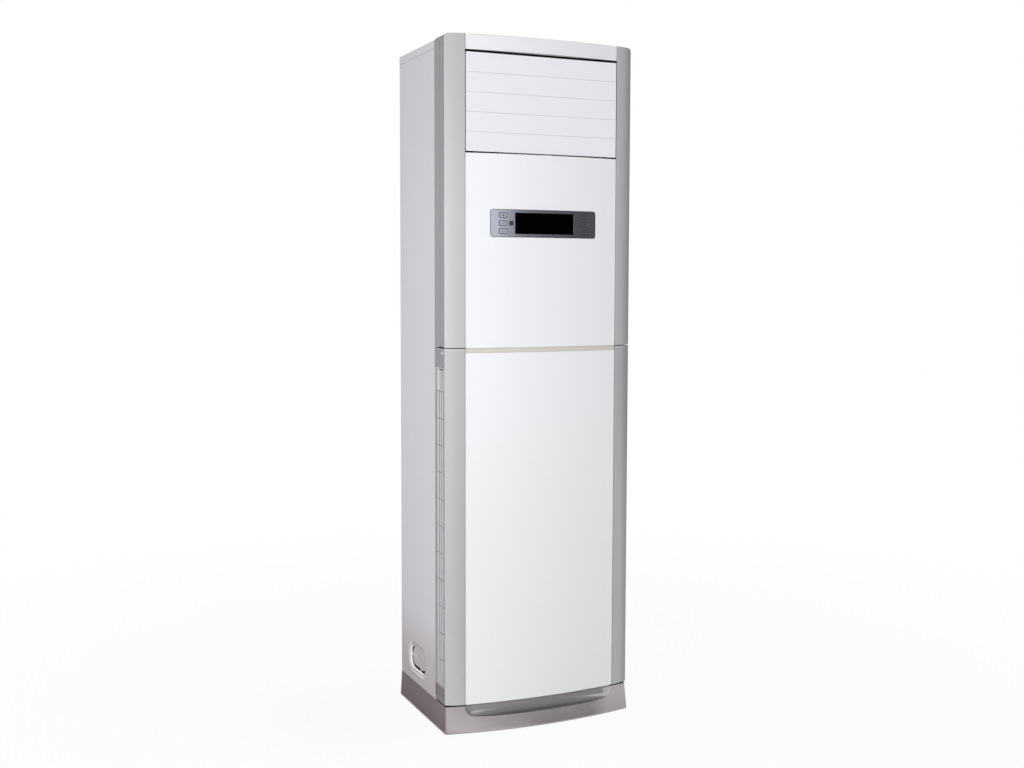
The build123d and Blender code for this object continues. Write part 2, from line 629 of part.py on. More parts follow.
def grille_pins(radius, length):
    """The two trunnions at the foot of an intake grille."""
    return rod_y(GRILLE_PIN_X, GRILLE_Y0 - length, GRILLE_Y1 + length, GRILLE_PIN_Z, radius)


def lower_column():
    """Silver column below the seam, with the intake opening in its side strip."""
    z0, z1 = PANEL_Z, SEAM_Z - COLUMN_SEAM / 2
    shell = column_shell(z0, z1, False)
    front_boss_y, rear_boss_y = GRILLE_Y0 - PART_GAP, GRILLE_Y1 + PART_GAP
    bosses = [
        block(
            HALF_CASING - BOSS_SIZE, HALF_CASING - PLASTIC / 2, y0, y1,
            GRILLE_PIN_Z - BOSS_SIZE / 2, GRILLE_PIN_Z + BOSS_SIZE / 2,
        )
        for y0, y1 in ((front_boss_y - PLASTIC, front_boss_y), (rear_boss_y, SEAM_Y))
    ]
    mouth = block(
        HALF_CASING - 2 * PLASTIC, HALF_CASING + 1, GRILLE_Y0 - PART_GAP, GRILLE_Y1 + PART_GAP,
        GRILLE_Z0 - GRILLE_FOOT_GAP, GRILLE_Z1 + PART_GAP,
    )
    shell = shell - mouth + bosses[0] + bosses[1]
    shell -= grille_pins(GRILLE_PIN_RADIUS + RUNNING_FIT, GRILLE_PIN_LENGTH + PART_GAP)
    return shell + panel_ledge(z0 + FLANGE, z1 - FLANGE)


def top_bar():
    """White fascia over the outlet, its deck running back to the metal cover."""
    half = HALF_PANEL
    body = behind_face(0, OUTLET_TOP, TOP_Z) & block(-half, half, -FAR, SEAM_Y, OUTLET_TOP, TOP_Z)
    top_edge = body.edges().filter_by(GeomType.CIRCLE).group_by(Axis.Z)[-1]
    body = fillet(top_edge, 3 * PANEL_EDGE_RADIUS)
    lip_z = OUTLET_TOP + PLASTIC
    hollow = behind_face(PLASTIC, lip_z, TOP_Z - PLASTIC) & block(
        -FAR, FAR, -FAR, FAR, lip_z, TOP_Z - PLASTIC
    )
    below = block(-FAR, FAR, FRAME_FRONT_Y, FAR, OUTLET_TOP - 1, lip_z)
    return body - hollow - below


def upper_front_panel():
    """White bowed panel from the seam to the outlet sill, cut out for the control panel."""
    top = OUTLET_SILL
    panel = bowed(-HALF_PANEL, HALF_PANEL, SEAM_Z + SEAM_GAP / 2, top, 0, PLASTIC)
    panel = soften_front(panel, PANEL_EDGE_RADIUS)
    sill = behind_face(PLASTIC, top - PLASTIC, top) & block(
        -HALF_PANEL, HALF_PANEL, -FAR, FRAME_FRONT_Y, top - PLASTIC, top
    )
    mouth = RectangleRounded(CONTROL_WIDTH, CONTROL_HEIGHT, CONTROL_RADIUS)
    return panel + sill - elevation(Pos(0, CONTROL_Z) * mouth, -FAR, FAR)


def lower_front_panel():
    """Plain white bowed panel below the trim strip."""
    panel = bowed(-HALF_PANEL, HALF_PANEL, PANEL_Z, TRIM_Z - PANEL_GAP, 0, PLASTIC)
    return soften_front(panel, PANEL_EDGE_RADIUS)


def trim_strip():
    """Pale band between the two front panels."""
    z1 = SEAM_Z - SEAM_GAP / 2
    face = bowed(-HALF_PANEL, HALF_PANEL, TRIM_Z, z1, PANEL_EDGE_RADIUS, PLASTIC)
    half = HALF_PANEL - LEDGE_WIDTH - 1
    clip = bowed(-half, half, TRIM_Z - FLANGE, z1 + FLANGE, PLASTIC, PLASTIC + SHEET)
    return face + clip


# ---- outlet --------------------------------------------------------------------------------
def louver_z(index):
    """Height of a louvre's pivot, counted from 1 at the bottom."""
    return OUTLET_SILL + LOUVER_BOTTOM_GAP + (index - 0.5) * LOUVER_PITCH


def vane_x(index):
    """X of a vane's pivot, counted from 1 at the left."""
    return -CHEEK_X + (index - 0.5) * VANE_PITCH


def outlet_frame():
    """Rectangular air mouth that carries both sets of blades."""
    y0, y1 = FRAME_FRONT_Y, FRAME_BACK_Y
    x1 = CHEEK_X + FRAME_WALL
    outer = block(-x1, x1, y0, y1, OUTLET_SILL - FRAME_WALL, OUTLET_TOP + FRAME_WALL)
    frame = outer - block(-CHEEK_X, CHEEK_X, y0 - 1, y1 + 1, OUTLET_SILL, OUTLET_TOP)
    middle = (OUTLET_SILL + OUTLET_TOP) / 2
    for z in (middle - FRAME_EAR_PITCH / 2, middle + FRAME_EAR_PITCH / 2):
        z0, z1 = z - FRAME_EAR / 2, z + FRAME_EAR / 2
        ear = block(x1, HALF_CASING - PLASTIC, y1 - FRAME_WALL, y1, z0, z1)
        frame += ear + mirrored(ear)
    for index in range(1, LOUVER_COUNT + 1):
        frame -= rod_x(-FAR, FAR, LOUVER_Y, louver_z(index), LOUVER_PIN_RADIUS + RUNNING_FIT)
    for index in range(1, VANE_COUNT + 1):
        frame -= rod_z(vane_x(index), VANE_Y, 0, FAR * 2, VANE_PIN_RADIUS + RUNNING_FIT)
    return frame


def louver_section(lipped):
    """Section of a louvre about its pivot: flat face, crowned back, lip behind the next one."""
    face, edge = -LOUVER_PIVOT_DEPTH, -LOUVER_PIVOT_DEPTH + LOUVER_EDGE
    band = LOUVER_HALF - LOUVER_EDGE_BAND
    lip0 = edge + LIP_CLEARANCE
    lip1 = lip0 + LIP_WALL
    crown = LOUVER_PIN_RADIUS
    if lipped:
        lip_top = LOUVER_HALF + LIP_HEIGHT
        top = [(lip0, LOUVER_HALF), (lip0, lip_top), (lip1, lip_top)]
        start = (lip1, band)
    else:
        top = [(edge, LOUVER_HALF)]
        start = (edge, band)
    outline = Polyline(
        (edge, -band), (edge, -LOUVER_HALF), (face, -LOUVER_HALF), (face, LOUVER_HALF), *top, start
    )
    back = ThreePointArc(start, (crown, 0), (edge, -band))
    return make_face([*outline.edges(), *back.edges()])


def crank_offset():
    """Y and Z of a louvre's crank pin from its pivot when shut."""
    lean = math.radians(LOUVER_CRANK_LEAN)
    return LOUVER_CRANK * math.cos(lean), LOUVER_CRANK * math.sin(lean)


def louver(index):
    """One louvre with its two pivot pins and, outside the right cheek, its crank."""
    half = HALF_PANEL + COLUMN_GAP - LOUVER_END_GAP
    z = louver_z(index)
    blade = profile_x(Pos(LOUVER_Y, z) * louver_section(index < LOUVER_COUNT), -half, half)
    outside = CHEEK_X + FRAME_WALL
    left_end = outside + (STEPPER_PIN_DEPTH if index == LOUVER_DRIVER else PIN_PROUD)
    crank_x0 = outside + PART_GAP
    crank_x1 = crank_x0 + CRANK_WALL
    pins = rod_x(-left_end, crank_x1, LOUVER_Y, z, LOUVER_PIN_RADIUS)
    dy, dz = crank_offset()
    arm_shape = Rot(0, 0, LOUVER_CRANK_LEAN) * SlotCenterToCenter(LOUVER_CRANK, CRANK_WIDTH)
    arm = profile_x(Pos(LOUVER_Y + dy / 2, z + dz / 2) * arm_shape, crank_x0, crank_x1)
    pin_end = crank_x1 + PART_GAP + LINK_WALL + CRANK_PIN_PROUD
    pin = rod_x(crank_x1, pin_end, LOUVER_Y + dy, z + dz, CRANK_PIN_RADIUS)
    return blade + pins + arm + pin


def louver_link():
    """Upright bar that joins the cranks, snug on the driven one and loose on the others."""
    dy, dz = crank_offset()
    x0 = CHEEK_X + FRAME_WALL + 2 * PART_GAP + CRANK_WALL
    y, z0, z1 = LOUVER_Y + dy, louver_z(1) + dz, louver_z(LOUVER_COUNT) + dz
    bar_shape = Rot(0, 0, 90) * SlotCenterToCenter(z1 - z0, LINK_WIDTH)
    bar = profile_x(Pos(y, (z0 + z1) / 2) * bar_shape, x0, x0 + LINK_WALL)
    for index in range(1, LOUVER_COUNT + 1):
        fit = RUNNING_FIT if index == LOUVER_DRIVER else OPEN_PIVOT_FIT
        bar -= rod_x(0, FAR, y, louver_z(index) + dz, CRANK_PIN_RADIUS + fit)
    return bar


def stepper_ears():
    """Outline of a stepper's two fixing ears, along X."""
    ears = SlotCenterToCenter(STEPPER_EAR_PITCH, STEPPER_EAR_WIDTH)
    for side in (-1, 1):
        ears -= Pos(side * STEPPER_EAR_PITCH / 2, 0) * Circle(STEPPER_HOLE_RADIUS)
    return ears


def louver_motor():
    """Stepper on the left cheek, its socket turning the middle louvre."""
    x1 = -CHEEK_X - FRAME_WALL
    x0 = x1 - STEPPER_LENGTH
    z = louver_z(LOUVER_DRIVER)
    y = LOUVER_Y + STEPPER_OFFSET
    can = rod_x(x0, x1, y, z, STEPPER_RADIUS)
    ears = profile_x(Pos(y, z) * Rot(0, 0, 90) * stepper_ears(), x1 - SHEET, x1)
    socket = rod_x(x1 - STEPPER_BORE_DEPTH, x1 + 1, LOUVER_Y, z, LOUVER_PIN_RADIUS + RUNNING_FIT)
    return can + ears - socket


def vane(index):
    """One upright vane with its pins and, under the frame, its crank."""
    x = vane_x(index)
    z0, z1 = OUTLET_SILL + VANE_END_GAP, OUTLET_TOP - VANE_END_GAP
    plate = Pos(x, VANE_Y, (z0 + z1) / 2) * extrude(
        SlotOverall(VANE_CHORD, VANE_WALL).rotate(Axis.Z, 90), (z1 - z0) / 2, both=True
    )
    under = OUTLET_SILL - FRAME_WALL - PART_GAP
    over = OUTLET_TOP + FRAME_WALL + (STEPPER_PIN_DEPTH if index == VANE_DRIVER else PIN_PROUD)
    pins = rod_z(x, VANE_Y, under - CRANK_WALL, z0 + VANE_PIN_ROOT, VANE_PIN_RADIUS)
    pins += rod_z(x, VANE_Y, z1 - VANE_PIN_ROOT, over, VANE_PIN_RADIUS)
    arm_shape = SlotCenterToCenter(VANE_CRANK, CRANK_WIDTH).rotate(Axis.Z, 90)
    arm = Pos(x, VANE_Y + VANE_CRANK / 2, under - CRANK_WALL) * extrude(arm_shape, CRANK_WALL)
    pin_end = under - CRANK_WALL - PART_GAP - LINK_WALL - CRANK_PIN_PROUD
    pin = rod_z(x, VANE_Y + VANE_CRANK, pin_end, under - CRANK_WALL, CRANK_PIN_RADIUS)
    return plate + pins + arm + pin


def vane_link():
    """Level bar that joins the vane cranks."""
    z1 = OUTLET_SILL - FRAME_WALL - 2 * PART_GAP - CRANK_WALL
    y = VANE_Y + VANE_CRANK
    length = vane_x(VANE_COUNT) - vane_x(1)
    bar = Pos(0, y, z1 - LINK_WALL) * extrude(SlotCenterToCenter(length, LINK_WIDTH), LINK_WALL)
    for index in range(1, VANE_COUNT + 1):
        fit = RUNNING_FIT if index == VANE_DRIVER else OPEN_PIVOT_FIT
        bar -= rod_z(vane_x(index), y, 0, z1 + 1, CRANK_PIN_RADIUS + fit)
    return bar


def vane_motor():
    """Stepper on top of the outlet frame, over the driven vane."""
    z0 = OUTLET_TOP + FRAME_WALL
    x, y = vane_x(VANE_DRIVER), VANE_Y - STEPPER_OFFSET
    can = rod_z(x, y, z0, z0 + STEPPER_LENGTH, STEPPER_RADIUS)
    ears = Pos(x, y, z0) * extrude(stepper_ears(), SHEET)
    socket = rod_z(x, VANE_Y, z0 - 1, z0 + STEPPER_BORE_DEPTH, VANE_PIN_RADIUS + RUNNING_FIT)
    return can + ears - socket


# ---- control panel -------------------------------------------------------------------------
def button_z(row):
    """Height of a button row, counted from 0 at the top."""
    return CONTROL_Z + (1 - row) * BUTTON_PITCH


def button_outline(grow):
    """Front outline of a button, larger by grow all round."""
    return RectangleRounded(BUTTON_WIDTH + 2 * grow, BUTTON_HEIGHT + 2 * grow, BUTTON_RADIUS + grow)


def control_bezel():
    """Silver surround with openings for the display, the sensor and six buttons."""
    z0, z1 = CONTROL_Z - CONTROL_HEIGHT / 2, CONTROL_Z + CONTROL_HEIGHT / 2
    outline = RectangleRounded(
        CONTROL_WIDTH - 2 * PANEL_GAP, CONTROL_HEIGHT - 2 * PANEL_GAP, CONTROL_RADIUS - PANEL_GAP
    )
    slab = bowed(-CONTROL_WIDTH / 2, CONTROL_WIDTH / 2, z0, z1, -CONTROL_PROUD, PLASTIC)
    slab = soften_front(slab & elevation(Pos(0, CONTROL_Z) * outline, -FAR, FAR), CONTROL_PROUD * 0.8)
    half = CONTROL_WIDTH / 2 + BEZEL_FLANGE
    deep = PLASTIC + BEZEL_FLANGE_WALL
    rear = bowed(-half, half, z0 - BEZEL_FLANGE, z1 + BEZEL_FLANGE, PLASTIC, deep)
    half -= BEZEL_FLANGE + 2 * BEZEL_RIM
    rear -= bowed(-half, half, z0 + BEZEL_RIM, z1 - BEZEL_RIM, PLASTIC, deep + 1)
    display = Pos(0, CONTROL_Z) * RectangleRounded(DISPLAY_WIDTH, DISPLAY_HEIGHT, DISPLAY_RADIUS)
    sensor = Pos(SENSOR_X, CONTROL_Z) * RectangleRounded(SENSOR_SIZE, SENSOR_SIZE, SENSOR_RADIUS)
    bezel = slab + rear - elevation(display, -FAR, FAR) - elevation(sensor, -FAR, FAR)
    for side in (-1, 1):
        for row in range(len(LEFT_BUTTONS)):
            hole = Pos(side * BUTTON_X, button_z(row)) * button_outline(PART_GAP)
            bezel -= elevation(hole, -FAR, FAR)
    return bezel


def display_window():
    """Smoked window over the display, let into the bezel."""
    half_w, half_h = DISPLAY_WIDTH / 2 - PANEL_GAP / 2, DISPLAY_HEIGHT / 2 - PANEL_GAP / 2
    slab = bowed(-half_w, half_w, CONTROL_Z - half_h, CONTROL_Z + half_h, 0, WINDOW_WALL)
    outline = RectangleRounded(2 * half_w, 2 * half_h, DISPLAY_RADIUS - PANEL_GAP / 2)
    return slab & elevation(Pos(0, CONTROL_Z) * outline, -FAR, FAR)


def sensor_window():
    """Small square window of the remote receiver."""
    side = SENSOR_SIZE - PANEL_GAP
    radius = SENSOR_RADIUS - PANEL_GAP / 2
    outline = Pos(SENSOR_X, CONTROL_Z) * RectangleRounded(side, side, radius)
    return elevation(outline, face_y(SENSOR_X), FRONT_Y + BOARD_DEPTH)


def display_board():
    """Circuit board behind the control panel with the display block and six switches."""
    y0 = FRONT_Y + BOARD_DEPTH
    half = CONTROL_WIDTH / 2 - BOARD_INSET
    z0, z1 = CONTROL_Z - BOARD_HEIGHT / 2, CONTROL_Z + BOARD_HEIGHT / 2
    board = block(-half, half, y0, y0 + BOARD_WALL, z0, z1)
    z0, z1 = CONTROL_Z - MODULE_HEIGHT / 2, CONTROL_Z + MODULE_HEIGHT / 2
    module = block(-MODULE_WIDTH / 2, MODULE_WIDTH / 2, -FAR, y0, z0, z1)
    board += module & behind_face(WINDOW_WALL, z0, z1)
    switch = Pos(0, -SWITCH_DEPTH / 2, 0) * Box(SWITCH_SIZE, SWITCH_DEPTH, SWITCH_SIZE)
    for side in (-1, 1):
        for row in range(len(LEFT_BUTTONS)):
            board += Pos(side * BUTTON_X, y0, button_z(row)) * switch
        for z in (CONTROL_Z - POST_PITCH / 2, CONTROL_Z + POST_PITCH / 2):
            post = rod_y(side * (half - 2 * POST_RADIUS), FRONT_Y, y0, z, POST_RADIUS)
            board += post & behind_face(PLASTIC, z - BOARD_HEIGHT, z + BOARD_HEIGHT)
    return board


def button(side, row):
    """One push button: cap, retaining flange and stem to its switch."""
    x, z = side * BUTTON_X, button_z(row)
    y1 = face_y(x) + PLASTIC + BUTTON_FLANGE
    y2 = y1 + BUTTON_FLANGE_WALL
    bow = behind_face(-CONTROL_PROUD - BUTTON_PROUD, z - BUTTON_HEIGHT, z + BUTTON_HEIGHT)
    cap = soften_front(bow & elevation(Pos(x, z) * button_outline(0), -FAR, y2), BUTTON_EDGE)
    flange = elevation(Pos(x, z) * button_outline(BUTTON_FLANGE), y1, y2)
    stem_end = FRONT_Y + BOARD_DEPTH - SWITCH_DEPTH - BUTTON_TRAVEL - RUNNING_FIT
    return cap + flange + rod_y(x, y1, stem_end, z, BUTTON_STEM_RADIUS)


# ---- intake grilles and filters ------------------------------------------------------------
def intake_grille():
    """Tilt-out grille in the right side strip, slotted in cells under a finger grip."""
    x0 = GRILLE_X - GRILLE_WALL
    plate = block(x0, GRILLE_X, GRILLE_Y0, GRILLE_Y1, GRILLE_Z0, GRILLE_Z1)
    cuts = []
    rows = [(GRILLE_Z0 + GRILLE_FOOT_LAND, GRILLE_SLOT_BASE - GRILLE_RIB / 2)]
    for cell in range(GRILLE_CELLS):
        z0 = GRILLE_SLOT_BASE + cell * GRILLE_PITCH + GRILLE_RIB / 2
        rows.append((z0, z0 + GRILLE_PITCH - GRILLE_RIB))
    for z0, z1 in rows:
        for start, width in SLOTS:
            y1 = GRILLE_Y1 - start
            cuts.append(block(x0 - 1, GRILLE_X + 1, y1 - width, y1, z0, z1))
    for line in range(GRILLE_CELLS + 1):
        z = GRILLE_SLOT_BASE + line * GRILLE_PITCH
        cuts.append(
            block(
                GRILLE_X - CELL_GROOVE_DEPTH, GRILLE_X + 1, GRILLE_Y0 - 1, GRILLE_Y1 + 1,
                z - CELL_GROOVE / 2, z + CELL_GROOVE / 2,
            )
        )
    y0, y1 = GRILLE_Y0 + GRIP_FRONT_LAND, GRILLE_Y1 - GRIP_REAR_LAND
    z0, z1 = GRIP_Z + GRIP_RIM, GRILLE_Z1 - GRIP_RIM
    cuts.append(block(GRILLE_X - GRIP_DEPTH, GRILLE_X + 1, y0, y1, z0, z1))
    cuts.append(block(x0 - 1, GRILLE_X + 1, y0, y1, z1 - GRIP_SLOT, z1))
    y1 = GRILLE_Y1 - SLOTS[0][0]
    cuts.append(block(x0 - 1, GRILLE_X + 1, y1 - SLOTS[0][1], y1, GRIP_Z + GRILLE_RIB / 2, z1))
    plate -= cuts
    return plate + grille_pins(GRILLE_PIN_RADIUS, GRILLE_PIN_LENGTH)


def intake_filter():
    """Washable filter clipped to the back of the grille: rim, bays and mesh."""
    x1 = GRILLE_X - GRILLE_WALL
    x0 = x1 - FILTER_WALL
    y0, y1 = GRILLE_Y0 + FILTER_INSET, GRILLE_Y1 - FILTER_INSET
    z0, z1 = GRILLE_SLOT_BASE - FILTER_LAP, GRIP_Z + FILTER_LAP
    rim = block(x0, x1, y0, y1, z0, z1)
    bay = (z1 - z0 - FILTER_RIM) / FILTER_BAYS
    for index in range(FILTER_BAYS):
        low = z0 + FILTER_RIM + index * bay
        hole = (y0 + FILTER_RIM, y1 - FILTER_RIM, low, low + bay - FILTER_RIM)
        rim -= block(x0 - 1, (x0 + x1 - FILTER_MESH) / 2, *hole)
        rim -= block((x0 + x1 + FILTER_MESH) / 2, x1 + 1, *hole)
    return rim


# ---- fan -----------------------------------------------------------------------------------
def fan_wheel():
    """Forward curved centrifugal wheel: back disc, front ring, blades and hub."""
    disc = rod_y(0, WHEEL_Y1 - WHEEL_WALL, WHEEL_Y1, 0, WHEEL_RADIUS)
    ring = rod_y(0, WHEEL_Y0, WHEEL_Y0 + WHEEL_WALL, 0, WHEEL_RADIUS)
    ring -= rod_y(0, WHEEL_Y0 - 1, WHEEL_Y0 + WHEEL_WALL + 1, 0, WHEEL_EYE_RADIUS)
    hub = rod_y(0, WHEEL_Y1 - HUB_LENGTH, WHEEL_Y1, 0, HUB_RADIUS)
    r0, r1 = WHEEL_EYE_RADIUS, WHEEL_RADIUS - 2 * BLADE_RIM_INSET
    middle = (r0 + r1) / 2
    belly, lead = BLADE_BELLY + BLADE_WALL, BLADE_LEAD + BLADE_WALL
    outer = ThreePointArc((r0, 0), (middle, BLADE_BELLY), (r1, BLADE_LEAD))
    inner = ThreePointArc((r0, BLADE_WALL), (middle, belly), (r1 - BLADE_RIM_INSET, lead))
    caps = [Line(outer @ 0, inner @ 0), Line(outer @ 1, inner @ 1)]
    section = make_face([*outer.edges(), *inner.edges(), *caps[0].edges(), *caps[1].edges()])
    blade = elevation(section, WHEEL_Y0 + WHEEL_WALL / 2, WHEEL_Y1 - WHEEL_WALL / 2)
    wheel = disc + ring + hub
    wheel += [Rot(0, 360 * index / BLADE_COUNT, 0) * blade for index in range(BLADE_COUNT)]
    wheel -= rod_y(0, WHEEL_Y0, WHEEL_Y1 + 1, 0, SHAFT_RADIUS)
    return Pos(FAN_X, 0, FAN_Z) * wheel


def fan_shaft():
    """Motor shaft with the nut that holds the wheel."""
    y0 = WHEEL_Y1 - HUB_LENGTH
    y1 = SCROLL_Y1 + MOTOR_PLATE_WALL + MOTOR_LENGTH - SHAFT_END_GAP
    shaft = rod_y(FAN_X, y0 - SHAFT_PROUD, y1, FAN_Z, SHAFT_RADIUS)
    nut = elevation(Pos(FAN_X, FAN_Z) * RegularPolygon(NUT_RADIUS, 6), y0 - NUT_WALL, y0)
    return shaft + nut


def scroll_solid(shrink, y0, y1):
    """Filled scroll: a spiral from the tongue round to the neck, then straight up."""
    points = []
    for step in range(SCROLL_STEPS + 1):
        swept = math.radians(SCROLL_SWEEP * step / SCROLL_STEPS)
        turn = math.radians(TONGUE_ANGLE) - swept
        radius = TONGUE_RADIUS * math.exp(SCROLL_RATE * swept) - shrink
        points.append((FAN_X + radius * math.cos(turn), FAN_Z + radius * math.sin(turn)))
    spiral = Spline(*points)
    left, right = NECK_X0 + shrink, NECK_X1 - shrink
    neck = Polyline(points[-1], (left, NECK_Z), (right, NECK_Z), points[0])
    return elevation(make_face([*spiral.edges(), *neck.edges()]), y0, y1)


def neck_space(z0, z1):
    """Clear air way inside the scroll's neck."""
    return block(
        NECK_X0 + PLASTIC, NECK_X1 - PLASTIC, SCROLL_Y0 + PLASTIC, SCROLL_Y1 - PLASTIC, z0, z1
    )


def volute():
    """Scroll casing round the wheel, on two legs, open at its neck and both eyes."""
    outer = scroll_solid(0, SCROLL_Y0, SCROLL_Y1)
    inner = scroll_solid(PLASTIC, SCROLL_Y0 + PLASTIC, SCROLL_Y1 - PLASTIC)
    casing = outer - inner - neck_space(NECK_Z - NECK_LENGTH, NECK_Z + 1)
    for x in (FAN_X - LEG_PITCH / 2, FAN_X + LEG_PITCH / 2):
        leg = block(x - PLASTIC / 2, x + PLASTIC / 2, SCROLL_Y0, SCROLL_Y1, FLOOR_Z, FAN_Z)
        x0, x1 = x - LEG_PAD / 2, x + LEG_PAD / 2
        pad = block(x0, x1, SCROLL_Y0, SCROLL_Y1, FLOOR_Z, FLOOR_Z + PLASTIC)
        casing += (leg - outer) + pad
    casing -= rod_y(FAN_X, SCROLL_Y0 - 1, FAN_Y, FAN_Z, INLET_RADIUS + PLASTIC + PART_GAP)
    return casing - rod_y(FAN_X, FAN_Y, SCROLL_Y1 + 1, FAN_Z, 2 * HUB_RADIUS)


def inlet_ring():
    """Bell mouth that leads the air into the eye of the wheel."""
    y0, y1 = SCROLL_Y0 - PLASTIC, SCROLL_Y0 + INLET_REACH
    flange = rod_y(FAN_X, y0, SCROLL_Y0, FAN_Z, INLET_RADIUS + INLET_FLANGE)
    throat = rod_y(FAN_X, y0, y1, FAN_Z, INLET_RADIUS + PLASTIC)
    ring = flange + throat - rod_y(FAN_X, y0 - 1, y1 + 1, FAN_Z, INLET_RADIUS)
    mouth = ring.edges().filter_by(GeomType.CIRCLE).group_by(Axis.Y)[0].sort_by(SortBy.RADIUS)[0]
    return fillet(mouth, PLASTIC)


def motor_bracket():
    """Square steel plate on the back of the scroll that carries the motor."""
    half = MOTOR_PLATE / 2
    y0, y1 = SCROLL_Y1, SCROLL_Y1 + MOTOR_PLATE_WALL
    plate = block(FAN_X - half, FAN_X + half, y0, y1, FAN_Z - half, FAN_Z + half)
    return plate - rod_y(FAN_X, y0 - 1, y1 + 1, FAN_Z, 1.5 * HUB_RADIUS)


def fan_motor():
    """Motor can with its mounting flange, bored for the shaft."""
    y0 = SCROLL_Y1 + MOTOR_PLATE_WALL
    can = rod_y(FAN_X, y0, y0 + MOTOR_LENGTH, FAN_Z, MOTOR_RADIUS)
    can = fillet(can.edges().filter_by(GeomType.CIRCLE).group_by(Axis.Y)[-1], MOTOR_CORNER)
    flange = rod_y(FAN_X, y0, y0 + MOTOR_FLANGE_WALL, FAN_Z, MOTOR_RADIUS + MOTOR_FLANGE)
    for turn in range(4):
        angle = math.radians(45 + 90 * turn)
        x = FAN_X + MOTOR_BOLT_CIRCLE / 2 * math.cos(angle)
        z = FAN_Z + MOTOR_BOLT_CIRCLE / 2 * math.sin(angle)
        flange -= rod_y(x, y0 - 1, y0 + MOTOR_FLANGE_WALL + 1, z, MOTOR_HOLE_RADIUS)
    bore_end = y0 + MOTOR_LENGTH - SHAFT_END_GAP + MOTOR_FLANGE_WALL
    bore = rod_y(FAN_X, y0 - 1, bore_end, FAN_Z, SHAFT_RADIUS + RUNNING_FIT)
    return can + flange - bore


# ---- coil, water and electrics -------------------------------------------------------------
def divider_plate():
    """Sheet between the fan room and the coil room, open over the scroll's neck."""
    z0, z1 = NECK_Z, NECK_Z + SHEET
    half = HALF_CABINET - SHEET
    plate = block(-half, half, SEAM_Y + SHEET, BACK_Y - SHEET, z0, z1)
    front = HALF_PANEL - 2 * PLASTIC
    plate += block(-front, front, CORNER_Y, SEAM_Y + SHEET, z0, z1)
    for side in (-1, 1):
        x0, x1 = sorted((side * half, side * (half - SHEET)))
        plate += block(x0, x1, SEAM_Y + 2 * FLANGE, BACK_Y - 2 * FLANGE, z0 - FLANGE, z1)
    x1 = PIPE_NOTCH - HALF_CABINET
    y1 = SEAM_Y + 1.5 * GAS_PIPE_DEPTH
    pipe_notch = block(-HALF_CABINET, x1, SEAM_Y - 1, y1, z0 - FLANGE - 1, z1 + 1)
    return plate - neck_space(z0 - 1, z1 + 1) - pipe_notch


def evaporator():
    """Leaning finned block with two end plates and four fixing ears."""
    fins = Box(2 * COIL_HALF_WIDTH, COIL_THICKNESS, COIL_LENGTH)
    x0, x1 = COIL_HALF_WIDTH, COIL_HALF_WIDTH + COIL_PLATE
    y1, z1 = COIL_PLATE_DEPTH / 2, COIL_LENGTH / 2
    end = block(x0, x1, -y1, y1, -z1, z1)
    for z in (-COIL_LENGTH * COIL_EAR_PLACE, COIL_LENGTH * COIL_EAR_PLACE):
        end += block(x1, HALF_CABINET - SHEET, y1 - COIL_PLATE, y1, z, z + COIL_EAR)
    return COIL_PLACE * (fins + end + mirrored(end))


def tube_height(index):
    """Place of a tube along the coil, from its lower end."""
    return (index - (TUBE_COUNT - 1) / 2) * TUBE_PITCH


def evaporator_tubes():
    """Copper return bends at both ends of the coil."""
    bend = revolve(
        Plane.YZ * Pos(0, TUBE_PITCH / 2) * Circle(TUBE_RADIUS), Axis.Y, revolution_arc=180
    )
    x = COIL_HALF_WIDTH + COIL_PLATE
    right = bend if bend.center().X > 0 else mirrored(bend)
    left = mirrored(right)
    bends = []
    for index in range(0, TUBE_COUNT - 1, 2):
        bends.append(Pos(x, 0, tube_height(index) + TUBE_PITCH / 2) * right)
    for index in range(1, TUBE_COUNT - 2, 2):
        bends.append(Pos(-x, 0, tube_height(index) + TUBE_PITCH / 2) * left)
    return COIL_PLACE * Compound(children=bends)


def pipe(points, bend, radius, bore):
    """Round tube along straight runs joined by arcs."""
    path = FilletPolyline(*points, radius=bend)
    start = Plane(origin=path @ 0, z_dir=path % 0)
    ring = Circle(radius) - Circle(bore) if bore > 0 else Circle(radius)
    return sweep(start * ring, path=path)


def coil_point(index):
    """Where a tube's axis leaves the left end plate."""
    place = COIL_PLACE * Pos(-COIL_HALF_WIDTH - COIL_PLATE, 0, tube_height(index))
    return place.position


def refrigerant_pipes():
    """Gas and liquid pipes from the coil down to their flare nuts near the knock-out."""
    x = -HALF_CABINET + PIPE_INSET
    end_z = CASE_Z + KNOCKOUT_RISE + PIPE_END_RISE
    top, low = coil_point(TUBE_COUNT - 1), coil_point(0)
    gas_y, liquid_y = SEAM_Y + GAS_PIPE_DEPTH, SEAM_Y + LIQUID_PIPE_DEPTH
    gas_turn_z = NECK_Z + 2 * GAS_PIPE_DEPTH
    liquid_turn_z = low.Z - 2 * GAS_PIPE_BEND
    behind_y = top.Y + GAS_PIPE_OFFSET
    gas = [
        (top.X, top.Y, top.Z),
        (x, top.Y, top.Z),
        (x, behind_y, top.Z),
        (x, gas_y, gas_turn_z),
        (x, gas_y, end_z),
    ]
    liquid = [
        (low.X, low.Y, low.Z),
        (x, low.Y, low.Z),
        (x, liquid_y, liquid_turn_z),
        (x, liquid_y, end_z),
    ]
    pipes = [
        pipe(gas, GAS_PIPE_BEND, GAS_PIPE_RADIUS, 0),
        pipe(liquid, LIQUID_PIPE_BEND, LIQUID_PIPE_RADIUS, 0),
    ]
    for y, size in ((gas_y, GAS_NUT_RADIUS), (liquid_y, LIQUID_NUT_RADIUS)):
        nut = extrude(RegularPolygon(size, 6), FLARE_NUT_HEIGHT)
        pipes.append(Pos(x, y, end_z - FLARE_NUT_HEIGHT) * nut)
    return Compound(children=pipes)


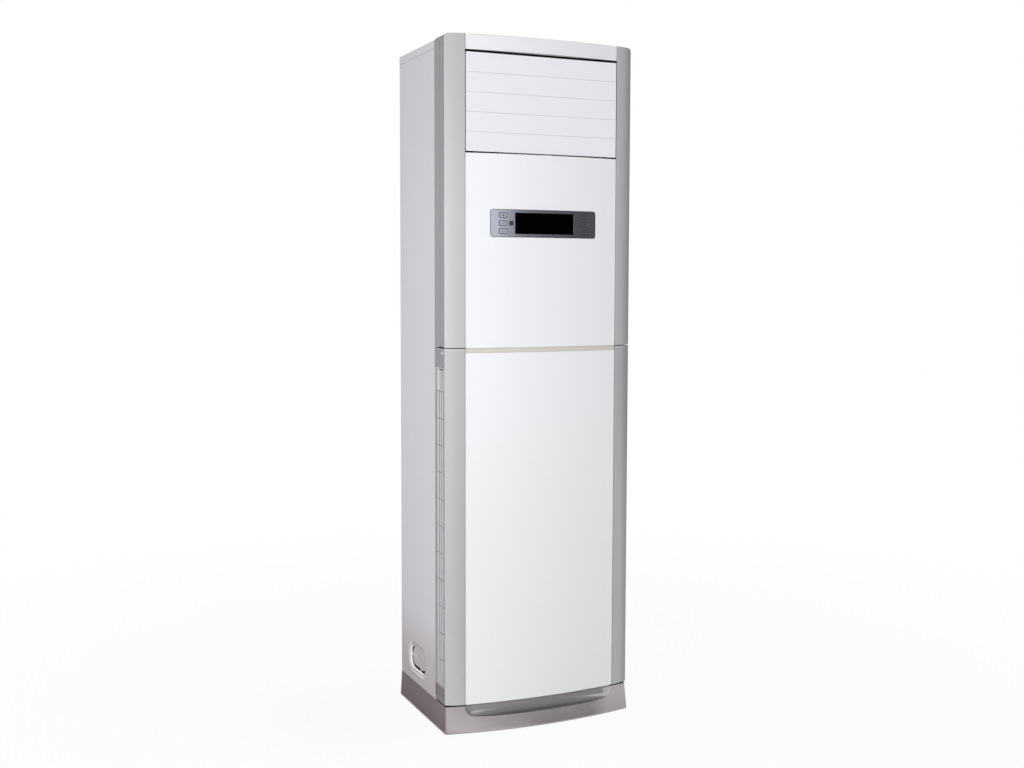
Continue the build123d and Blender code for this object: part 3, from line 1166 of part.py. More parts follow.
def drain_pan():
    """Tray under the coil's foot with a spout at its left end."""
    y0, y1 = PAN_FRONT_Y, PAN_FRONT_Y + PAN_DEPTH
    z0 = NECK_Z + SHEET
    z1 = z0 + PAN_HEIGHT
    half = PAN_HALF_WIDTH
    tray = block(-half, half, y0, y1, z0, z1)
    half -= PAN_WALL
    tray -= block(-half, half, y0 + PAN_WALL, y1 - PAN_WALL, z0 + PAN_WALL, z1 + 1)
    spout = rod_z(HOSE_X, HOSE_Y, z0 - SPOUT_LENGTH, z0 + PAN_WALL, HOSE_RADIUS)
    bore = rod_z(HOSE_X, HOSE_Y, z0 - SPOUT_LENGTH - 1, z0 + PAN_WALL + 1, SPOUT_BORE)
    return tray + spout - bore


def drain_hose():
    """Hose from the pan's spout down and back along the floor of the cabinet."""
    low = FLOOR_Z + HOSE_RADIUS + PANEL_GAP
    points = [
        (HOSE_X, HOSE_Y, NECK_Z + SHEET - SPOUT_LENGTH),
        (HOSE_X, HOSE_Y, low + HOSE_DROP),
        (HOSE_X, HOSE_Y + HOSE_RUN, low),
        (HOSE_X, BACK_Y - KNOCKOUT_REAR, low),
    ]
    return pipe(points, HOSE_BEND, HOSE_RADIUS, HOSE_BORE)


def electric_box():
    """Closed box of the control electronics on the front of the scroll."""
    x0, x1 = FAN_X - BOX_SHIFT - BOX_WIDTH / 2, FAN_X - BOX_SHIFT + BOX_WIDTH / 2
    y0, z1 = SCROLL_Y0 - BOX_DEPTH, NECK_Z - BOX_DROP
    z0 = z1 - BOX_HEIGHT
    box = block(x0, x1, y0, SCROLL_Y0, z0, z1)
    lid = block(x0 - BOX_LIP, x1 + BOX_LIP, y0 - BOX_LID, y0, z0 - BOX_LIP, z1 + BOX_LIP)
    shapes = [fillet(shape.edges().filter_by(Axis.Y), BOX_CORNER) for shape in (box, lid)]
    return shapes[0] + shapes[1]


def wall_bracket():
    """Angle bracket: tab on the cover, leg down the wall behind with two screw holes."""
    half = BRACKET_WIDTH / 2
    z1 = COVER_Z + BRACKET_WALL
    tab = block(-half, half, BACK_Y - BRACKET_TAB, WALL_Y, COVER_Z, z1)
    leg = block(-half, half, WALL_Y - BRACKET_WALL, WALL_Y, COVER_Z - BRACKET_DROP, z1)
    bracket = tab + leg
    for side in (-1, 1):
        x = side * BRACKET_HOLE_PITCH / 2
        bracket -= rod_y(x, BACK_Y, WALL_Y + 1, COVER_Z - BRACKET_HOLE_DROP, BRACKET_HOLE_RADIUS)
    return bracket


# ---- screws --------------------------------------------------------------------------------
def back_screw_points():
    """X and Z of the screws along both edges of the back plates."""
    x = HALF_CABINET - FLANGE / 2
    inset = BACK_SCREW_INSET
    lower = [CASE_Z + inset, (CASE_Z + SEAM_Z) / 2, SEAM_Z - inset]
    upper = [SEAM_Z + inset, (SEAM_Z + SKIRT_Z) / 2, SKIRT_Z - inset]
    return [(side * x, z) for side in (-1, 1) for z in lower + upper]


def strip_screw_points():
    """X side, Y and Z of the screws on the side strips, over the grilles."""
    y, z = GRILLE_Y0 + STRIP_SCREW_INSET, SEAM_Z - STRIP_SCREW_DROP
    return [(side, y, z) for side in (-1, 1)]


def back_screw(x, z):
    """Pan-head screw driven in from behind."""
    y = BACK_Y + SHEET
    head = rod_y(x, y, y + SCREW_HEAD, z, SCREW_HEAD_RADIUS)
    return head + rod_y(x, y - SCREW_LENGTH, y, z, SCREW_RADIUS)


def strip_screw(side, y, z):
    """Pan-head screw driven in from the side."""
    x = HALF_CASING
    head = rod_x(x, x + SCREW_HEAD / 2, y, z, SCREW_HEAD_RADIUS)
    screw = head + rod_x(x - SCREW_LENGTH, x, y, z, SCREW_RADIUS)
    return screw if side > 0 else mirrored(screw)


def casing_screws():
    """All the visible casing screws, the bracket's own one included."""
    screws = [back_screw(x, z) for x, z in back_screw_points()]
    screws += [strip_screw(side, y, z) for side, y, z in strip_screw_points()]
    z = COVER_Z + BRACKET_WALL
    y = BACK_Y - BRACKET_TAB / 2
    head = rod_z(0, y, z, z + SCREW_HEAD, SCREW_HEAD_RADIUS)
    screws.append(head + rod_z(0, y, z - SCREW_LENGTH, z, SCREW_RADIUS))
    return Compound(children=screws)


def screw_holes():
    """Clearance for every screw shank."""
    reach = SCREW_LENGTH + SCREW_TIP_ROOM
    cuts = [
        rod_y(x, BACK_Y - reach, BACK_Y + SHEET, z, SCREW_RADIUS) for x, z in back_screw_points()
    ]
    for side, y, z in strip_screw_points():
        x0, x1 = sorted((side * (HALF_CASING - reach), side * HALF_CASING))
        cuts.append(rod_x(x0, x1, y, z, SCREW_RADIUS))
    z = COVER_Z + BRACKET_WALL
    cuts.append(rod_z(0, BACK_Y - BRACKET_TAB / 2, z - reach, z, SCREW_RADIUS))
    return cuts


# ---- every piece, by the name of its file --------------------------------------------------
nodes = {
    "plinth": plinth(),
    "base_pan": base_pan(),
    "left_side_plate": knocked_side_plate(),
    "right_side_plate": side_plate(),
    "lower_back_plate": back_plate(CASE_Z, SEAM_Z - PANEL_GAP),
    "upper_back_plate": back_plate(SEAM_Z, SKIRT_Z - SKIRT_GAP),
    "top_cover": top_cover(),
    "upper_right_column": upper_column(),
    "lower_right_column": lower_column(),
    "top_bar": top_bar(),
    "upper_front_panel": upper_front_panel(),
    "lower_front_panel": lower_front_panel(),
    "trim_strip": trim_strip(),
    "outlet_frame": outlet_frame(),
    "louver_link": louver_link(),
    "louver_motor": louver_motor(),
    "vane_link": vane_link(),
    "vane_motor": vane_motor(),
    "control_bezel": control_bezel(),
    "display_window": display_window(),
    "sensor_window": sensor_window(),
    "display_board": display_board(),
    "right_intake_grille": intake_grille(),
    "right_filter": intake_filter(),
    "fan_wheel": fan_wheel(),
    "fan_shaft": fan_shaft(),
    "volute": volute(),
    "inlet_ring": inlet_ring(),
    "motor_bracket": motor_bracket(),
    "fan_motor": fan_motor(),
    "divider_plate": divider_plate(),
    "evaporator": evaporator(),
    "evaporator_tubes": evaporator_tubes(),
    "refrigerant_pipes": refrigerant_pipes(),
    "drain_pan": drain_pan(),
    "drain_hose": drain_hose(),
    "electric_box": electric_box(),
    "wall_bracket": wall_bracket(),
    "casing_screws": casing_screws(),
}
for name in ("upper_right_column", "lower_right_column", "right_intake_grille", "right_filter"):
    nodes[name.replace("right", "left")] = mirrored(nodes[name])
for number in range(1, LOUVER_COUNT + 1):
    nodes[f"louver_{number}"] = louver(number)
for number in range(1, VANE_COUNT + 1):
    nodes[f"vane_{number}"] = vane(number)
for side, names in ((-1, LEFT_BUTTONS), (1, RIGHT_BUTTONS)):
    for row, name in enumerate(names):
        nodes[name] = button(side, row)

SCREWED = [
    "left_side_plate", "right_side_plate", "lower_back_plate", "upper_back_plate", "top_cover",
    "lower_left_column", "lower_right_column", "wall_bracket",
]
for name in SCREWED:
    nodes[name] -= screw_holes()

os.makedirs("parts", exist_ok=True)
for name, solid in nodes.items():
    export_step(solid, f"parts/{name}.step")
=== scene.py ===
import math

import bpy
import numpy as np
from mathutils import Matrix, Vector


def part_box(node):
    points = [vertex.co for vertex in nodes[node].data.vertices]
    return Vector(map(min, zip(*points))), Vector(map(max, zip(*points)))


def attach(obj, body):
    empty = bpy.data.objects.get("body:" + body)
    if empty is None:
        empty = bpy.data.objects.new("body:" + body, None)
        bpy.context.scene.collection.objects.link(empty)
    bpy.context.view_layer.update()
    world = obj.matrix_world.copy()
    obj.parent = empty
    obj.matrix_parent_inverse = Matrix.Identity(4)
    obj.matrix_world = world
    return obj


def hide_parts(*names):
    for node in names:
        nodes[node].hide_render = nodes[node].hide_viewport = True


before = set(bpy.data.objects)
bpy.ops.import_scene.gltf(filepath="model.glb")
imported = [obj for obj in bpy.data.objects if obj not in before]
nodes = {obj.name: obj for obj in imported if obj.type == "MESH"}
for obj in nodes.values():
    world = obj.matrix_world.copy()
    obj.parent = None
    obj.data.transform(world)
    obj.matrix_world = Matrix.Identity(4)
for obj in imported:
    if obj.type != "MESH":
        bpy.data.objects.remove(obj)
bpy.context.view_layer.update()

# ---- camera --------------------------------------------------------------------------------
# The camera stands in front of the cabinet and to its left, a little over a metre up, and
# looks slightly down. The lens, the tilt and the small shift are those of the photograph.
CAMERA_PLACE = (-1.3904, -3.1418, 1.1593)
CAMERA_TURN = 0.41166
CAMERA_DIP = 0.07333
CAMERA_ROLL = 0.00236
CAMERA_LENS = 44.57
CAMERA_SHIFT = (0.0031, -0.0079)

camera = bpy.data.objects.new("camera", bpy.data.cameras.new("camera"))
bpy.context.scene.collection.objects.link(camera)
turned = Matrix.Rotation(-CAMERA_TURN, 4, "Z") @ Matrix.Rotation(math.pi / 2 - CAMERA_DIP, 4, "X")
camera.matrix_world = Matrix.Translation(CAMERA_PLACE) @ turned @ Matrix.Rotation(CAMERA_ROLL, 4, "Z")
camera.data.lens = CAMERA_LENS
camera.data.shift_x, camera.data.shift_y = CAMERA_SHIFT
bpy.context.scene.camera = camera
bpy.context.scene.view_settings.view_transform = "Standard"


# ---- studio --------------------------------------------------------------------------------
# A pale floor that fades into a white room, one large soft lamp from the left, and a graded
# card all round that only the gloss of the cabinet sees. None of it is part of the object.
FLOOR_HALF = 9.0
FLOOR_WHITE = 0.945  # share of the floor's look that is plain white to the camera
FLOOR_FADE = (0.9, 3.0)  # metres from the cabinet over which the floor turns all white
BOUNCE_CENTRE = (-0.42, 0.1, 0.0)
FLOOR_BOUNCE = (0.05, 0.45)  # metres from there over which the floor's own colour turns pale
BOUNCE_COLOURS = (0.08, 0.06, 0.06, 1), (0.74, 0.73, 0.74, 1)
ROOM_LEVEL = 0.585
KEY_AZIMUTH, KEY_HEIGHT, KEY_DISTANCE, KEY_SIZE, KEY_POWER = -42, 1.15, 3.9, 2.2, 84
KEY_TARGET = (0, 0, 0.9)
CARD_PROFILE = [(0.02, 0.003), (4.6, 0.003), (4.6, 4.5)]  # distance and height, metres
CARD_SPAN = (-180.0, 180.0)  # degrees to the right of straight ahead
CARD_STEPS = 81
CARD_FOOT = (0.0, 0.2)  # heights between which the card's floor turns into its wall
CARD_STOPS = [  # degrees and level of the wall
    (-170, 0.08), (-110, 0.12), (-80, 0.9), (-60, 1.0), (-25, 0.7), (0, 0.64), (7, 0.95), (12, 0.79),
    (16.6, 0.3), (24, 0.17), (33, 0.11), (40, 0.1), (50, 0.45), (58, 0.2), (66, 0.04), (80, 0.03),
    (120, 0.3), (180, 0.08),
]
CARD_FLOOR_STOPS = [  # degrees and level of the floor, which the plinth mirrors
    (-170, 0.06), (-65, 0.06), (-48, 1.2), (-38, 1.0), (-15, 0.45), (7, 0.12), (38, 0.12), (50, 0.8),
    (100, 0.6), (170, 0.06),
]


def srgb(red, green, blue):
    """Linear colour of an 8-bit display colour."""
    levels = np.array([red, green, blue]) / 255
    return tuple(np.where(levels <= 0.04045, levels / 12.92, ((levels + 0.055) / 1.055) ** 2.4))


class Wire:
    """A value in a node tree. Arithmetic on it adds Math nodes to that tree."""

    def __init__(self, graph, socket):
        self.graph = graph
        self.socket = socket

    def math(self, operation, *others):
        sockets = dict(enumerate((self, *others)))
        return self.graph.node("ShaderNodeMath", {"operation": operation}, sockets)

    def __add__(self, other):
        return self.math("ADD", other)

    def __sub__(self, other):
        return self.math("SUBTRACT", other)

    def __mul__(self, other):
        return self.math("MULTIPLY", other)

    def __rsub__(self, other):
        return self.graph.node("ShaderNodeMath", {"operation": "SUBTRACT"}, {0: other, 1: self})

    __radd__ = __add__
    __rmul__ = __mul__

    def rise(self, low, high):
        """Share that eases from 0 at low to 1 at high."""
        sockets = {"Value": self, "From Min": low, "From Max": high}
        return self.graph.node("ShaderNodeMapRange", {"interpolation_type": "SMOOTHSTEP"}, sockets)

    def between(self, start, end):
        """Share that is 1 between two soft limits, each a pair of values that it eases across."""
        return self.rise(*start) * (1 - self.rise(*end))

    def wave(self, pitch):
        """Sine along this value from 0 to 1, one wave for each pitch."""
        return (self * (2 * math.pi / pitch)).math("SINE") * 0.5 + 0.5


class Graph:
    """A node tree built by expressions, on the object's own coordinates in metres."""

    def __init__(self, tree):
        self.tree = tree

    def join(self, socket, value):
        if isinstance(value, Wire):
            self.tree.links.new(value.socket, socket)
        else:
            socket.default_value = value

    def node(self, kind, settings=(), sockets=(), output=0):
        """Adds any node: its settings first, then the values or wires of its sockets."""
        node = self.tree.nodes.new(kind)
        for key, value in dict(settings).items():
            setattr(node, key, value)
        for key, value in dict(sockets).items():
            self.join(node.inputs[key], value)
        return Wire(self, node.outputs[output])

    def place(self):
        return self.node("ShaderNodeTexCoord", output="Object")

    def axis(self, letter):
        """Object coordinate along one axis."""
        return self.node("ShaderNodeSeparateXYZ", sockets={"Vector": self.place()}, output=letter)

    def noise(self, scale, detail=2.0, stretch=(1, 1, 1)):
        """Noise about 0.5, its grain 1 / scale metres, finer along the stretched axes."""
        place = self.node("ShaderNodeMapping", sockets={"Vector": self.place(), "Scale": stretch})
        return self.node("ShaderNodeTexNoise", sockets={"Vector": place, "Scale": scale, "Detail": detail})

    def mix(self, share, first, second, blend="MIX"):
        """Colour between two colours."""
        settings = {"data_type": "RGBA", "blend_type": blend}
        return self.node("ShaderNodeMix", settings, {0: share, 6: first, 7: second}, output=2)


floor_material = bpy.data.materials.new("studio_floor")
floor_material.use_nodes = True
floor_graph = Graph(floor_material.node_tree)
floor_material.node_tree.nodes.remove(floor_material.node_tree.nodes["Principled BSDF"])


def watched(graph):
    """1 for what the camera sees straight, mirrored or through glass, and 0 for lighting."""
    rays = ("Camera", "Glossy", "Transmission")
    seen = [graph.node("ShaderNodeLightPath", output=f"Is {ray} Ray") for ray in rays]
    return seen[0].math("MAXIMUM", seen[1]).math("MAXIMUM", seen[2])


away = floor_graph.node(
    "ShaderNodeVectorMath", {"operation": "LENGTH"}, {0: floor_graph.place()}, output="Value"
)
plain = watched(floor_graph) * (away.rise(*FLOOR_FADE) * (1 - FLOOR_WHITE) + FLOOR_WHITE)
beside = floor_graph.node(
    "ShaderNodeVectorMath", {"operation": "DISTANCE"},
    {0: floor_graph.place(), 1: BOUNCE_CENTRE}, output="Value",
)
bounce = floor_graph.mix(beside.rise(*FLOOR_BOUNCE), *BOUNCE_COLOURS)
matt = floor_graph.node("ShaderNodeBsdfDiffuse", sockets={"Color": bounce})
glow = floor_graph.node("ShaderNodeEmission", sockets={"Color": (1, 1, 1, 1)})
floor_look = floor_graph.node("ShaderNodeMixShader", sockets={0: plain, 1: matt, 2: glow})
floor_graph.join(floor_material.node_tree.nodes["Material Output"].inputs["Surface"], floor_look)

floor_mesh = bpy.data.meshes.new("studio_floor")
corners = [(x * FLOOR_HALF, y * FLOOR_HALF, 0) for x, y in ((-1, -1), (1, -1), (1, 1), (-1, 1))]
floor_mesh.from_pydata(corners, [], [(0, 1, 2, 3)])
floor_mesh.materials.append(floor_material)
floor = bpy.data.objects.new("studio_floor", floor_mesh)
bpy.context.scene.collection.objects.link(floor)

world = bpy.data.worlds.new("studio_room")
bpy.context.scene.world = world
world.use_nodes = True
room = Graph(world.node_tree)
background = world.node_tree.nodes["Background"]
background.inputs["Color"].default_value = (1, 1, 1, 1)
room.join(background.inputs["Strength"], watched(room) * (1 - ROOM_LEVEL) + ROOM_LEVEL)

key = bpy.data.lights.new("key_lamp", "AREA")
key.size = KEY_SIZE
key.energy = KEY_POWER
key_lamp = bpy.data.objects.new("key_lamp", key)
bpy.context.scene.collection.objects.link(key_lamp)
key_lamp.visible_glossy = False
key_turn = math.radians(KEY_AZIMUTH)
key_lamp.location = (KEY_DISTANCE * math.sin(key_turn), -KEY_DISTANCE * math.cos(key_turn), KEY_HEIGHT)
aim = np.array(KEY_TARGET) - np.array(key_lamp.location)
key_lamp.rotation_euler = (math.atan2(math.hypot(aim[0], aim[1]), -aim[2]), 0, math.atan2(-aim[0], aim[1]))


def grid_faces(rows, columns, wrap=False):
    """Four-sided faces of a grid of points, its last column joined to the first if wrapped."""
    across = columns if wrap else columns - 1
    row, column = np.meshgrid(np.arange(rows - 1), np.arange(across), indexing="ij")
    start = row * columns + column
    step = row * columns + (column + 1) % columns
    return np.stack([start, step, step + columns, start + columns], -1).reshape(-1, 4).tolist()


def piece(name, points, faces, material, smooth=True):
    """A new mesh object at the origin, its points in metres."""
    mesh = bpy.data.meshes.new(name)
    mesh.from_pydata(np.asarray(points).reshape(-1, 3).tolist(), [], faces)
    mesh.polygons.foreach_set("use_smooth", [smooth] * len(mesh.polygons))
    mesh.materials.append(material)
    mesh.update()
    made = bpy.data.objects.new(name, mesh)
    bpy.context.scene.collection.objects.link(made)
    return made


# The card is a profile of distance r and height z carried round the cabinet: x = r sin a and
# y = -r cos a, with the angle a along one side of the grid. Its level follows the angle.
card_material = bpy.data.materials.new("studio_card")
card_material.use_nodes = True
card_graph = Graph(card_material.node_tree)
card_material.node_tree.nodes.remove(card_material.node_tree.nodes["Principled BSDF"])
turn = card_graph.axis("X").math("ARCTAN2", 0 - card_graph.axis("Y")) * math.degrees(1)


def stepped(angle, stops):
    """Level that eases from stop to stop along an angle."""
    level = stops[0][1]
    for (start, low), (end, high) in zip(stops, stops[1:]):
        level = angle.rise(start, end) * (high - low) + level
    return level


card_level = stepped(turn, CARD_STOPS)
floor_level = stepped(turn, CARD_FLOOR_STOPS)
on_wall = card_graph.axis("Z").rise(*CARD_FOOT)
card_look = card_graph.node(
    "ShaderNodeEmission", sockets={"Strength": card_level * on_wall + floor_level * (1 - on_wall)}
)
card_graph.join(card_material.node_tree.nodes["Material Output"].inputs["Surface"], card_look)
card_turn = np.radians(np.linspace(*CARD_SPAN, CARD_STEPS))[:, None]
card_reach, card_z = np.array(CARD_PROFILE).T
card_points = np.stack(
    [card_reach * np.sin(card_turn), -card_reach * np.cos(card_turn), card_z + 0 * card_turn], -1
)
card = piece("studio_card", card_points, grid_faces(CARD_STEPS, len(CARD_PROFILE)), card_material)
card.visible_camera = card.visible_diffuse = card.visible_shadow = card.visible_transmission = False


# ---- plinth --------------------------------------------------------------------------------
# Moulded base in mid-grey lacquered plastic with a scooped toe. It has a fine pebble grain and
# scuffs by the floor. Painted shade darkens the deck under the casing, the foot, the outer side
# (warmly) and the lower half of the scoop.
DECK_SHADE = (0.0694, 0.0698)  # heights
SCUFF_TOP = 0.02
FOOT_SHADE_TOP = 0.05
SIDE_X = (-0.262, -0.255)
SIDE_WARM_SHADE = (1.0, 0.9, 0.88)
SCOOP_AXIS = (-0.18715, 0.07)  # Y and Z
SCOOP_REACH = 0.1888  # half length of the axis, up to its round ends
SCOOP_RADIUS = 0.032
SCOOP_SKIN = (0.0002, 0.0006)  # outside the scoop's radius
SCOOP_SHADE = (0.004, 0.010)  # below its axis: painted shade where the toe turns from the light
SCOOP_SHADE_COLOUR = (0.49, 0.47, 0.49, 1)
SCOOP_LOW_SHADE = (0.025, 0.031)  # below its axis: darker painted shade just above the lip


class Finish(Graph):
    """A procedural material round one Principled shader."""

    def __init__(self, name, colour, roughness, edge=0.0, **constants):
        self.material = bpy.data.materials.new(name)
        self.material.use_nodes = True
        super().__init__(self.material.node_tree)
        self.shader = self.tree.nodes["Principled BSDF"]
        self.look = (*colour, 1)
        self.feed("Base Color", self.look)
        self.feed("Roughness", roughness)
        for socket, value in constants.items():
            self.feed(socket.replace("_", " "), value)
        self.normal = {}
        if edge > 0:
            softened = self.node("ShaderNodeBevel", {"samples": 4}, {"Radius": edge})
            self.normal = {"Normal": softened}
            self.feed("Normal", softened)

    def feed(self, socket, value):
        self.join(self.shader.inputs[socket], value)

    def tint(self, share, colour):
        """Multiplies the colour so far by another where the share is 1."""
        self.look = self.mix(share, self.look, (*colour, 1), "MULTIPLY")
        self.feed("Base Color", self.look)

    def grey(self, share, level):
        self.tint(share, (level, level, level))

    def gloss(self, share, low, high):
        """Roughness from low where the share is 0 to high where it is 1."""
        self.feed("Roughness", share * (high - low) + low)

    def bump(self, height):
        """Relief whose height is in metres."""
        sockets = {"Height": height, "Distance": 1.0, **self.normal}
        self.feed("Normal", self.node("ShaderNodeBump", sockets=sockets))


def coat(finish, *names):
    """Gives CAD nodes a finish."""
    for name in names:
        for slot in nodes[name].material_slots:
            slot.material = finish.material


plinth_plastic = Finish("plinth_plastic", srgb(186, 180, 184), 0.5, edge=0.002, Metallic=0.45)
pebble = plinth_plastic.noise(1300, 1)
scuff = plinth_plastic.noise(60, 4, (0.15, 0.15, 1)).rise(0.55, 0.75)
low_edge = 1 - plinth_plastic.axis("Z").rise(0.0, SCUFF_TOP)
plinth_plastic.grey(plinth_plastic.noise(9, 3), 0.95)
plinth_plastic.grey(scuff * low_edge, 0.8)
# painted shade: the deck under the casing near black, in the gap under the panels
plinth_plastic.grey(plinth_plastic.axis("Z").rise(*DECK_SHADE), 0.06)
plinth_plastic.grey(1 - plinth_plastic.axis("Z").rise(0.0, FOOT_SHADE_TOP), 0.86)
# painted warm shade on the plinth's outer side
plinth_plastic.tint(1 - plinth_plastic.axis("X").rise(*SIDE_X), SIDE_WARM_SHADE)
inward = plinth_plastic.axis("Y") - SCOOP_AXIS[0]
below = SCOOP_AXIS[1] - plinth_plastic.axis("Z")
beyond = (plinth_plastic.axis("X").math("ABSOLUTE") - SCOOP_REACH).math("MAXIMUM", 0.0)
from_axis = (inward * inward + below * below + beyond * beyond).math("SQRT")
in_scoop = 1 - (from_axis - SCOOP_RADIUS).rise(*SCOOP_SKIN)
# painted shade on the scoop below its axis
plinth_plastic.look = plinth_plastic.mix(
    in_scoop * below.rise(*SCOOP_SHADE), plinth_plastic.look, SCOOP_SHADE_COLOUR
)
# painted shade low in the scoop, darker still
plinth_plastic.grey(in_scoop * below.rise(*SCOOP_LOW_SHADE), 0.55)
plinth_plastic.gloss(pebble * 0.5 + scuff * low_edge * 0.5, 0.08, 0.24)
plinth_plastic.bump(pebble * 0.00005)
coat(plinth_plastic, "plinth")

# ---- metal cabinet -------------------------------------------------------------------------
# Folded steel sheets in pale powder coat: two sides, two back plates and the skirted cover.
# The coat has a slight orange peel. Painted warm shade darkens the sheets low down, and painted
# shade their top. The pipe knock-out, pressed into the left side, has a painted highlight where its
# bead and wall face the light, painted shade on their other side and black painted shade in its slot.
KNOCKOUT_PLACE = (0.05315, 0.1375)  # Y and Z of its middle
KNOCKOUT_HALF = (0.07, 0.0425)
BEAD_X = (-0.2638, -0.2632)
WALL_X = (-0.2627, -0.2623), (-0.2597, -0.2593)
SLOT_X = (-0.25875, -0.25865), (-0.2575, -0.2573)
LIT_SIDE = (-0.5, 0.1)  # of the share rearward and down
SLOT_BOUND = (1.6, 1.8)  # of the squared share from the middle
LOW_SHADE_TOP = (0.14, 0.28)
UPPER_SHEET_SHADE = (1.2, 1.75)


cabinet_metal = Finish("cabinet_metal", srgb(226, 225, 229), 0.42, edge=0.001)
on_bead = 1 - cabinet_metal.axis("X").rise(*BEAD_X)
pressed = on_bead.math("MAXIMUM", cabinet_metal.axis("X").between(*WALL_X))
rearward = (cabinet_metal.axis("Y") - KNOCKOUT_PLACE[0]) * (1 / KNOCKOUT_HALF[0])
downward = (KNOCKOUT_PLACE[1] - cabinet_metal.axis("Z")) * (1 / KNOCKOUT_HALF[1])
lit_share = (rearward + downward).rise(*LIT_SIDE)
# painted warm shade low down on the sheets
cabinet_metal.tint(1 - cabinet_metal.axis("Z").rise(*LOW_SHADE_TOP), (0.84, 0.79, 0.80))
# painted shade towards the top
cabinet_metal.grey(cabinet_metal.axis("Z").rise(*UPPER_SHEET_SHADE), 0.94)
# painted highlight where the bead and wall face the light
cabinet_metal.look = cabinet_metal.mix(pressed * lit_share, cabinet_metal.look, (1, 1, 1, 1))
# painted shade on the bead and wall on their other side
cabinet_metal.grey(pressed * (1 - lit_share), 0.72)
outside = (rearward * rearward + downward * downward).rise(*SLOT_BOUND)
# painted black shade on the cut edges inside the slot
cabinet_metal.grey(cabinet_metal.axis("X").between(*SLOT_X) * (1 - outside), 0.03)
peel = cabinet_metal.noise(520, 2)
cabinet_metal.grey(cabinet_metal.noise(2.2, 3), 0.975)
cabinet_metal.grey(cabinet_metal.noise(900, 1).rise(0.35, 0.65), 0.985)
cabinet_metal.gloss(cabinet_metal.noise(14, 4), 0.36, 0.50)
cabinet_metal.bump(peel * 0.00003 + cabinet_metal.noise(5, 1, (1, 1, 0.4)) * 0.0006)
coat(
    cabinet_metal,
    "left_side_plate", "right_side_plate", "lower_back_plate", "upper_back_plate", "top_cover",
)

# ---- galvanised inner sheets ---------------------------------------------------------------
# Floor pan, divider, wall bracket and the plates and boxes behind the casing. Hot-dip zinc
# leaves crystals a centimetre or so across, each with its own shade.
galvanised = Finish("inner_metal", srgb(172, 175, 178), 0.38, edge=0.0006, Metallic=0.85)
crystal = galvanised.node(
    "ShaderNodeTexVoronoi", sockets={"Vector": galvanised.place(), "Scale": 70.0}, output="Color"
)
shade = galvanised.node("ShaderNodeSeparateColor", sockets={"Color": crystal}, output="Red")
galvanised.grey(shade, 0.82)
galvanised.grey(galvanised.noise(25, 4), 0.92)
galvanised.gloss(shade * 0.6 + galvanised.noise(300, 2) * 0.4, 0.28, 0.5)
galvanised.bump(galvanised.noise(1200, 1) * 0.00002)
coat(galvanised, "base_pan", "divider_plate", "wall_bracket", "motor_bracket", "electric_box")

# ---- silver corner columns -----------------------------------------------------------------
# Moulded plastic columns lacquered with fine metal flake. The rounded front is glossy; the
# side strip behind the corner is textured and grooved on the upper half. Painted shade darkens the
# strip, its grooves, the undersides, the top of the left columns, the lower columns towards the
# foot and the right columns' outer edge.
STRIP_EDGE_Y = (-0.155, -0.152)  # where the rounded front turns into the side strip
SHADED_GROOVE_BANDS = [(-0.1266, -0.1172), (-0.1508, -0.1388)]
GROOVE_EASE = 0.0006
GROOVE_FOOT = (0.9955, 0.9965)
UNDERSIDE_SHADE = (0.0746, 0.0752)
COLUMN_JOINT = (0.985, 0.990)  # heights between the lower and the upper column
UPPER_LEFT_SHADE, LOWER_SHADE = (1.3, 1.75), (0.1, 0.9)
LEFT_HALF_X = (-0.1, 0.1)
RIGHT_EDGE_SHADE = (0.235, 0.2625)


def lacquer(name, colour, roughness):
    """Silver lacquer: flakes a third of a millimetre across in a clear coat."""
    finish = Finish(name, colour, roughness, edge=0.0012, Metallic=0.2, Coat_Roughness=0.15)
    flake = finish.noise(2800, 0)
    finish.grey(flake.rise(0.3, 0.7), 0.94)
    finish.grey(finish.noise(3, 3), 0.97)
    finish.feed("Coat Weight", finish.noise(20, 2) * 0.2 + 0.15)
    finish.bump(flake * 0.000008 + finish.noise(30, 1) * 0.00004)
    return finish


silver_plastic = lacquer("silver_plastic", srgb(202, 202, 204), 0.34)
strip = silver_plastic.axis("Y").rise(*STRIP_EDGE_Y)
# painted shade on the side strip, which faces away from the light
silver_plastic.tint(strip, (0.84, 0.83, 0.84))
# painted shade on the underside, over the gap to the plinth
silver_plastic.grey(1 - silver_plastic.axis("Z").rise(*UNDERSIDE_SHADE), 0.2)
silver_plastic.tint(1 - silver_plastic.axis("Z").rise(*COLUMN_JOINT), (0.91, 0.91, 0.92))
left = 1 - silver_plastic.axis("X").rise(*LEFT_HALF_X)
# painted shade towards the top of the left columns
silver_plastic.grey(silver_plastic.axis("Z").rise(*UPPER_LEFT_SHADE) * left, 0.9)
# painted shade towards the foot
silver_plastic.grey(1 - silver_plastic.axis("Z").rise(*LOWER_SHADE), 0.93)
# painted shade on the right columns' outer edge
silver_plastic.grey(silver_plastic.axis("X").rise(*RIGHT_EDGE_SHADE), 0.76)
# painted shade in the grooves of the upper strip
for band in SHADED_GROOVE_BANDS:
    start, end = ((edge - GROOVE_EASE, edge + GROOVE_EASE) for edge in band)
    in_band = silver_plastic.axis("Y").between(start, end)
    silver_plastic.grey(in_band * silver_plastic.axis("Z").rise(*GROOVE_FOOT), 0.86)
silver_plastic.gloss(strip, 0.32, 0.5)
coat(silver_plastic, "upper_left_column", "upper_right_column", "lower_left_column", "lower_right_column")

